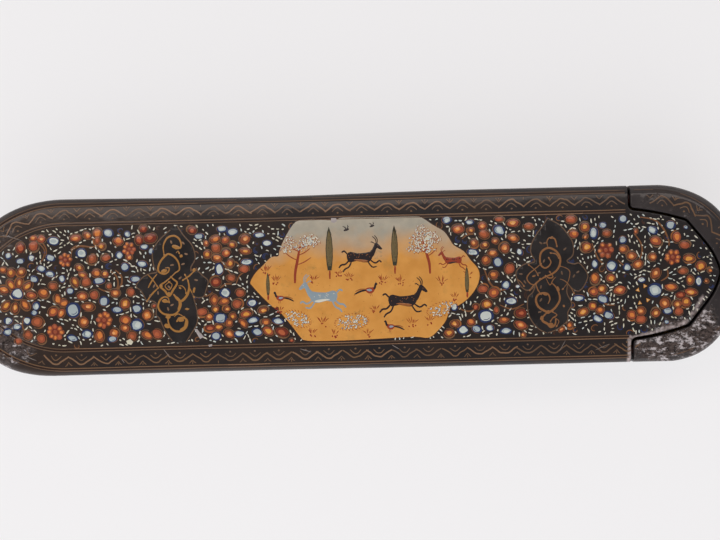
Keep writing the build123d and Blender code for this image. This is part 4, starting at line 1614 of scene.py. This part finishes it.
def tube(form, path, radius, sides):
    """Adds a thin thread along a path."""
    rings = []
    for place, point in enumerate(path):
        along = path[min(place + 1, len(path) - 1)] - path[max(place - 1, 0)]
        if along.length < 1e-6:
            along = Vector((1, 0, 0))
        side = along.cross(Vector((0, 0, 1))).normalized()
        up = side.cross(along).normalized()
        rings.append([
            form.verts.new(point + (side * cos(tau * i / sides) + up * sin(tau * i / sides)) * radius)
            for i in range(sides)
        ])
    for first, second in zip(rings, rings[1:]):
        for i in range(sides):
            j = (i + 1) % sides
            form.faces.new((first[i], second[i], second[j], first[j]))
    form.faces.new(rings[0])
    form.faces.new(rings[-1][::-1])


# Light and floor
SKY_SEEN = 0.9
FLOOR_SHADE = 0.28
FLOOR_REACH = 4.0


def aim_light(name, place, target, width, height, watts, tint):
    """A soft lamp that looks at a point."""
    data = bpy.data.lights.new(name, "AREA")
    data.shape = "RECTANGLE"
    data.size, data.size_y = width * MM, height * MM
    data.energy = watts
    data.color = linear(tint)[:3]
    lamp = bpy.data.objects.new(name, data)
    lamp.location = Vector(place) * MM
    lamp.rotation_euler = (Vector(place) - Vector(target)).to_track_quat("Z", "Y").to_euler()
    lamp.visible_camera = False
    bpy.context.scene.collection.objects.link(lamp)
    return lamp


def make_world():
    """An even pale surround, dimmer straight above, and nearly white where the camera sees it."""
    world = bpy.data.worlds.new("studio")
    bpy.context.scene.world = world
    world.use_nodes = True
    sky = Nodes(world.node_tree)
    way = sky.add("SeparateXYZ", {"Vector": sky.add("TexCoord").outputs["Generated"]}).outputs
    ray = sky.add("LightPath").outputs
    fall = sky.between(way["Z"], 0.5, 0.97, 0.3, 0.17)
    pale = sky.sum(sky.between(way["Y"], 0.3, 0.75, 0.0, 0.45), sky.between(way["Z"], 0.1, 0.5, 0.6, 0.0))
    mirrored = sky.sum(ray["Is Glossy Ray"], ray["Is Transmission Ray"])
    total = sky.sum(fall, sky.product(pale, mirrored))
    strength = sky.add("Mix", {0: ray["Is Camera Ray"], 2: total, 3: SKY_SEEN}).outputs[0]
    sky.feed(sky.tree.nodes["Background"], {"Strength": strength, "Color": "fff5f2"})


def make_floor():
    """A plain pale floor, its shadows soft and light where the camera sees them."""
    mesh = bpy.data.meshes.new("floor")
    corners = [(x * FLOOR_REACH, y * FLOOR_REACH, 0) for x, y in ((-1, -1), (1, -1), (1, 1), (-1, 1))]
    mesh.from_pydata(corners, [], [(0, 1, 2, 3)])
    floor = bpy.data.objects.new("floor", mesh)
    bpy.context.scene.collection.objects.link(floor)
    white = linear("f4f3f4")
    look = Look("pale_floor", Roughness=1.0, Specular_IOR_Level=0.0, Emission_Color=white)
    seen = look.add("LightPath").outputs["Is Camera Ray"]
    mesh.materials.append(look.finish(
        Base_Color=look.blend(seen, white, [FLOOR_SHADE * c for c in white[:3]] + [1]),
        Emission_Strength=look.product(seen, 1 - FLOOR_SHADE),
    ))


make_camera()
make_floor()
make_world()
key = aim_light("key", place=(-380, -860, 900), target=(0, 0, 20), width=2500, height=1500, watts=22.5,
                tint="f8fbff")
key.visible_glossy = False
aim_light("card", place=(-60, 230, 760), target=(-40, 20, 40), width=900, height=170, watts=1.35,
          tint="fff0e8")
bpy.context.scene.view_settings.view_transform = "Standard"

# The painted shells
lacquers = {
    "case_shell": lacquer_look("case_lacquer", 0.0),
    "drawer_head": lacquer_look("head_lacquer", 0.13),
}
paints = {shade: paint_look("paint_" + shade, code) for shade, code in SHADES.items()}
slate = slate_look()
forms = {node: make_skin(node) for node in BODIES}
for node, form in forms.items():
    skins[node] = BVHTree.FromBMesh(form)
for node, form in forms.items():
    name = node + "_lacquer"
    add_piece(name, mesh_from(form, name), BODIES[node], lacquers[node], node, CREASE)

dice = Random(TOP_SEED)
cartouche = traced(CARTOUCHE, 3, closed=True)
medallions = [medallion_rim(outlines) for outlines in (LEFT_OUTLINES, RIGHT_OUTLINES)]
field = top_field([cartouche, *medallions])
lay_border(dice)
for name, outline in zip(("left_medallion", "right_medallion"), medallions):
    lay_patch(name, curve(outline, 2, closed=True)[::-1], slate)
lay_medallion(LEFT_OUTLINES, LEFT_SCROLLS, LEFT_BLOBS, LEFT_LEAVES, "bright_gold", "gold", dice)
lay_medallion(RIGHT_OUTLINES, RIGHT_SCROLLS, RIGHT_BLOBS, RIGHT_LEAVES, "copper", "dull_gold", dice)
flowers = lay_flowers(dice)
lay_fillers(flowers, field, dice)
lay_dashes(DASH_TRIES, flowers, field, dice)
lay_patch("cartouche", cartouche, cartouche_look())
for place in range(0, len(cartouche), OUTLINE_PIECE):
    edge = [cartouche[(place + step) % len(cartouche)] for step in range(OUTLINE_PIECE + 1)]
    stroke("umber", 0, edge, 0.4, taper=0.1)
lay_garden(dice)
lay_wear(dice)
lay_sides(Random(SIDE_SEED))
lay_paint()

# The pieces inside
add_piece("silk_wad", mesh_from(make_wad(), "silk_wad"), "drawer", silk_look(), "ink_wad")
dress(paper_look(), "case_lining", "drawer_lining")
dress(tray_look(), "drawer_tray", "ink_partition")
dress(brass_look("old_brass", 0.24), "inkwell_body", "inkwell_top", "inkwell_lid")
dress(brass_look("rubbed_brass", 0.16), "inkwell_knob", "inkwell_hinge_pin")
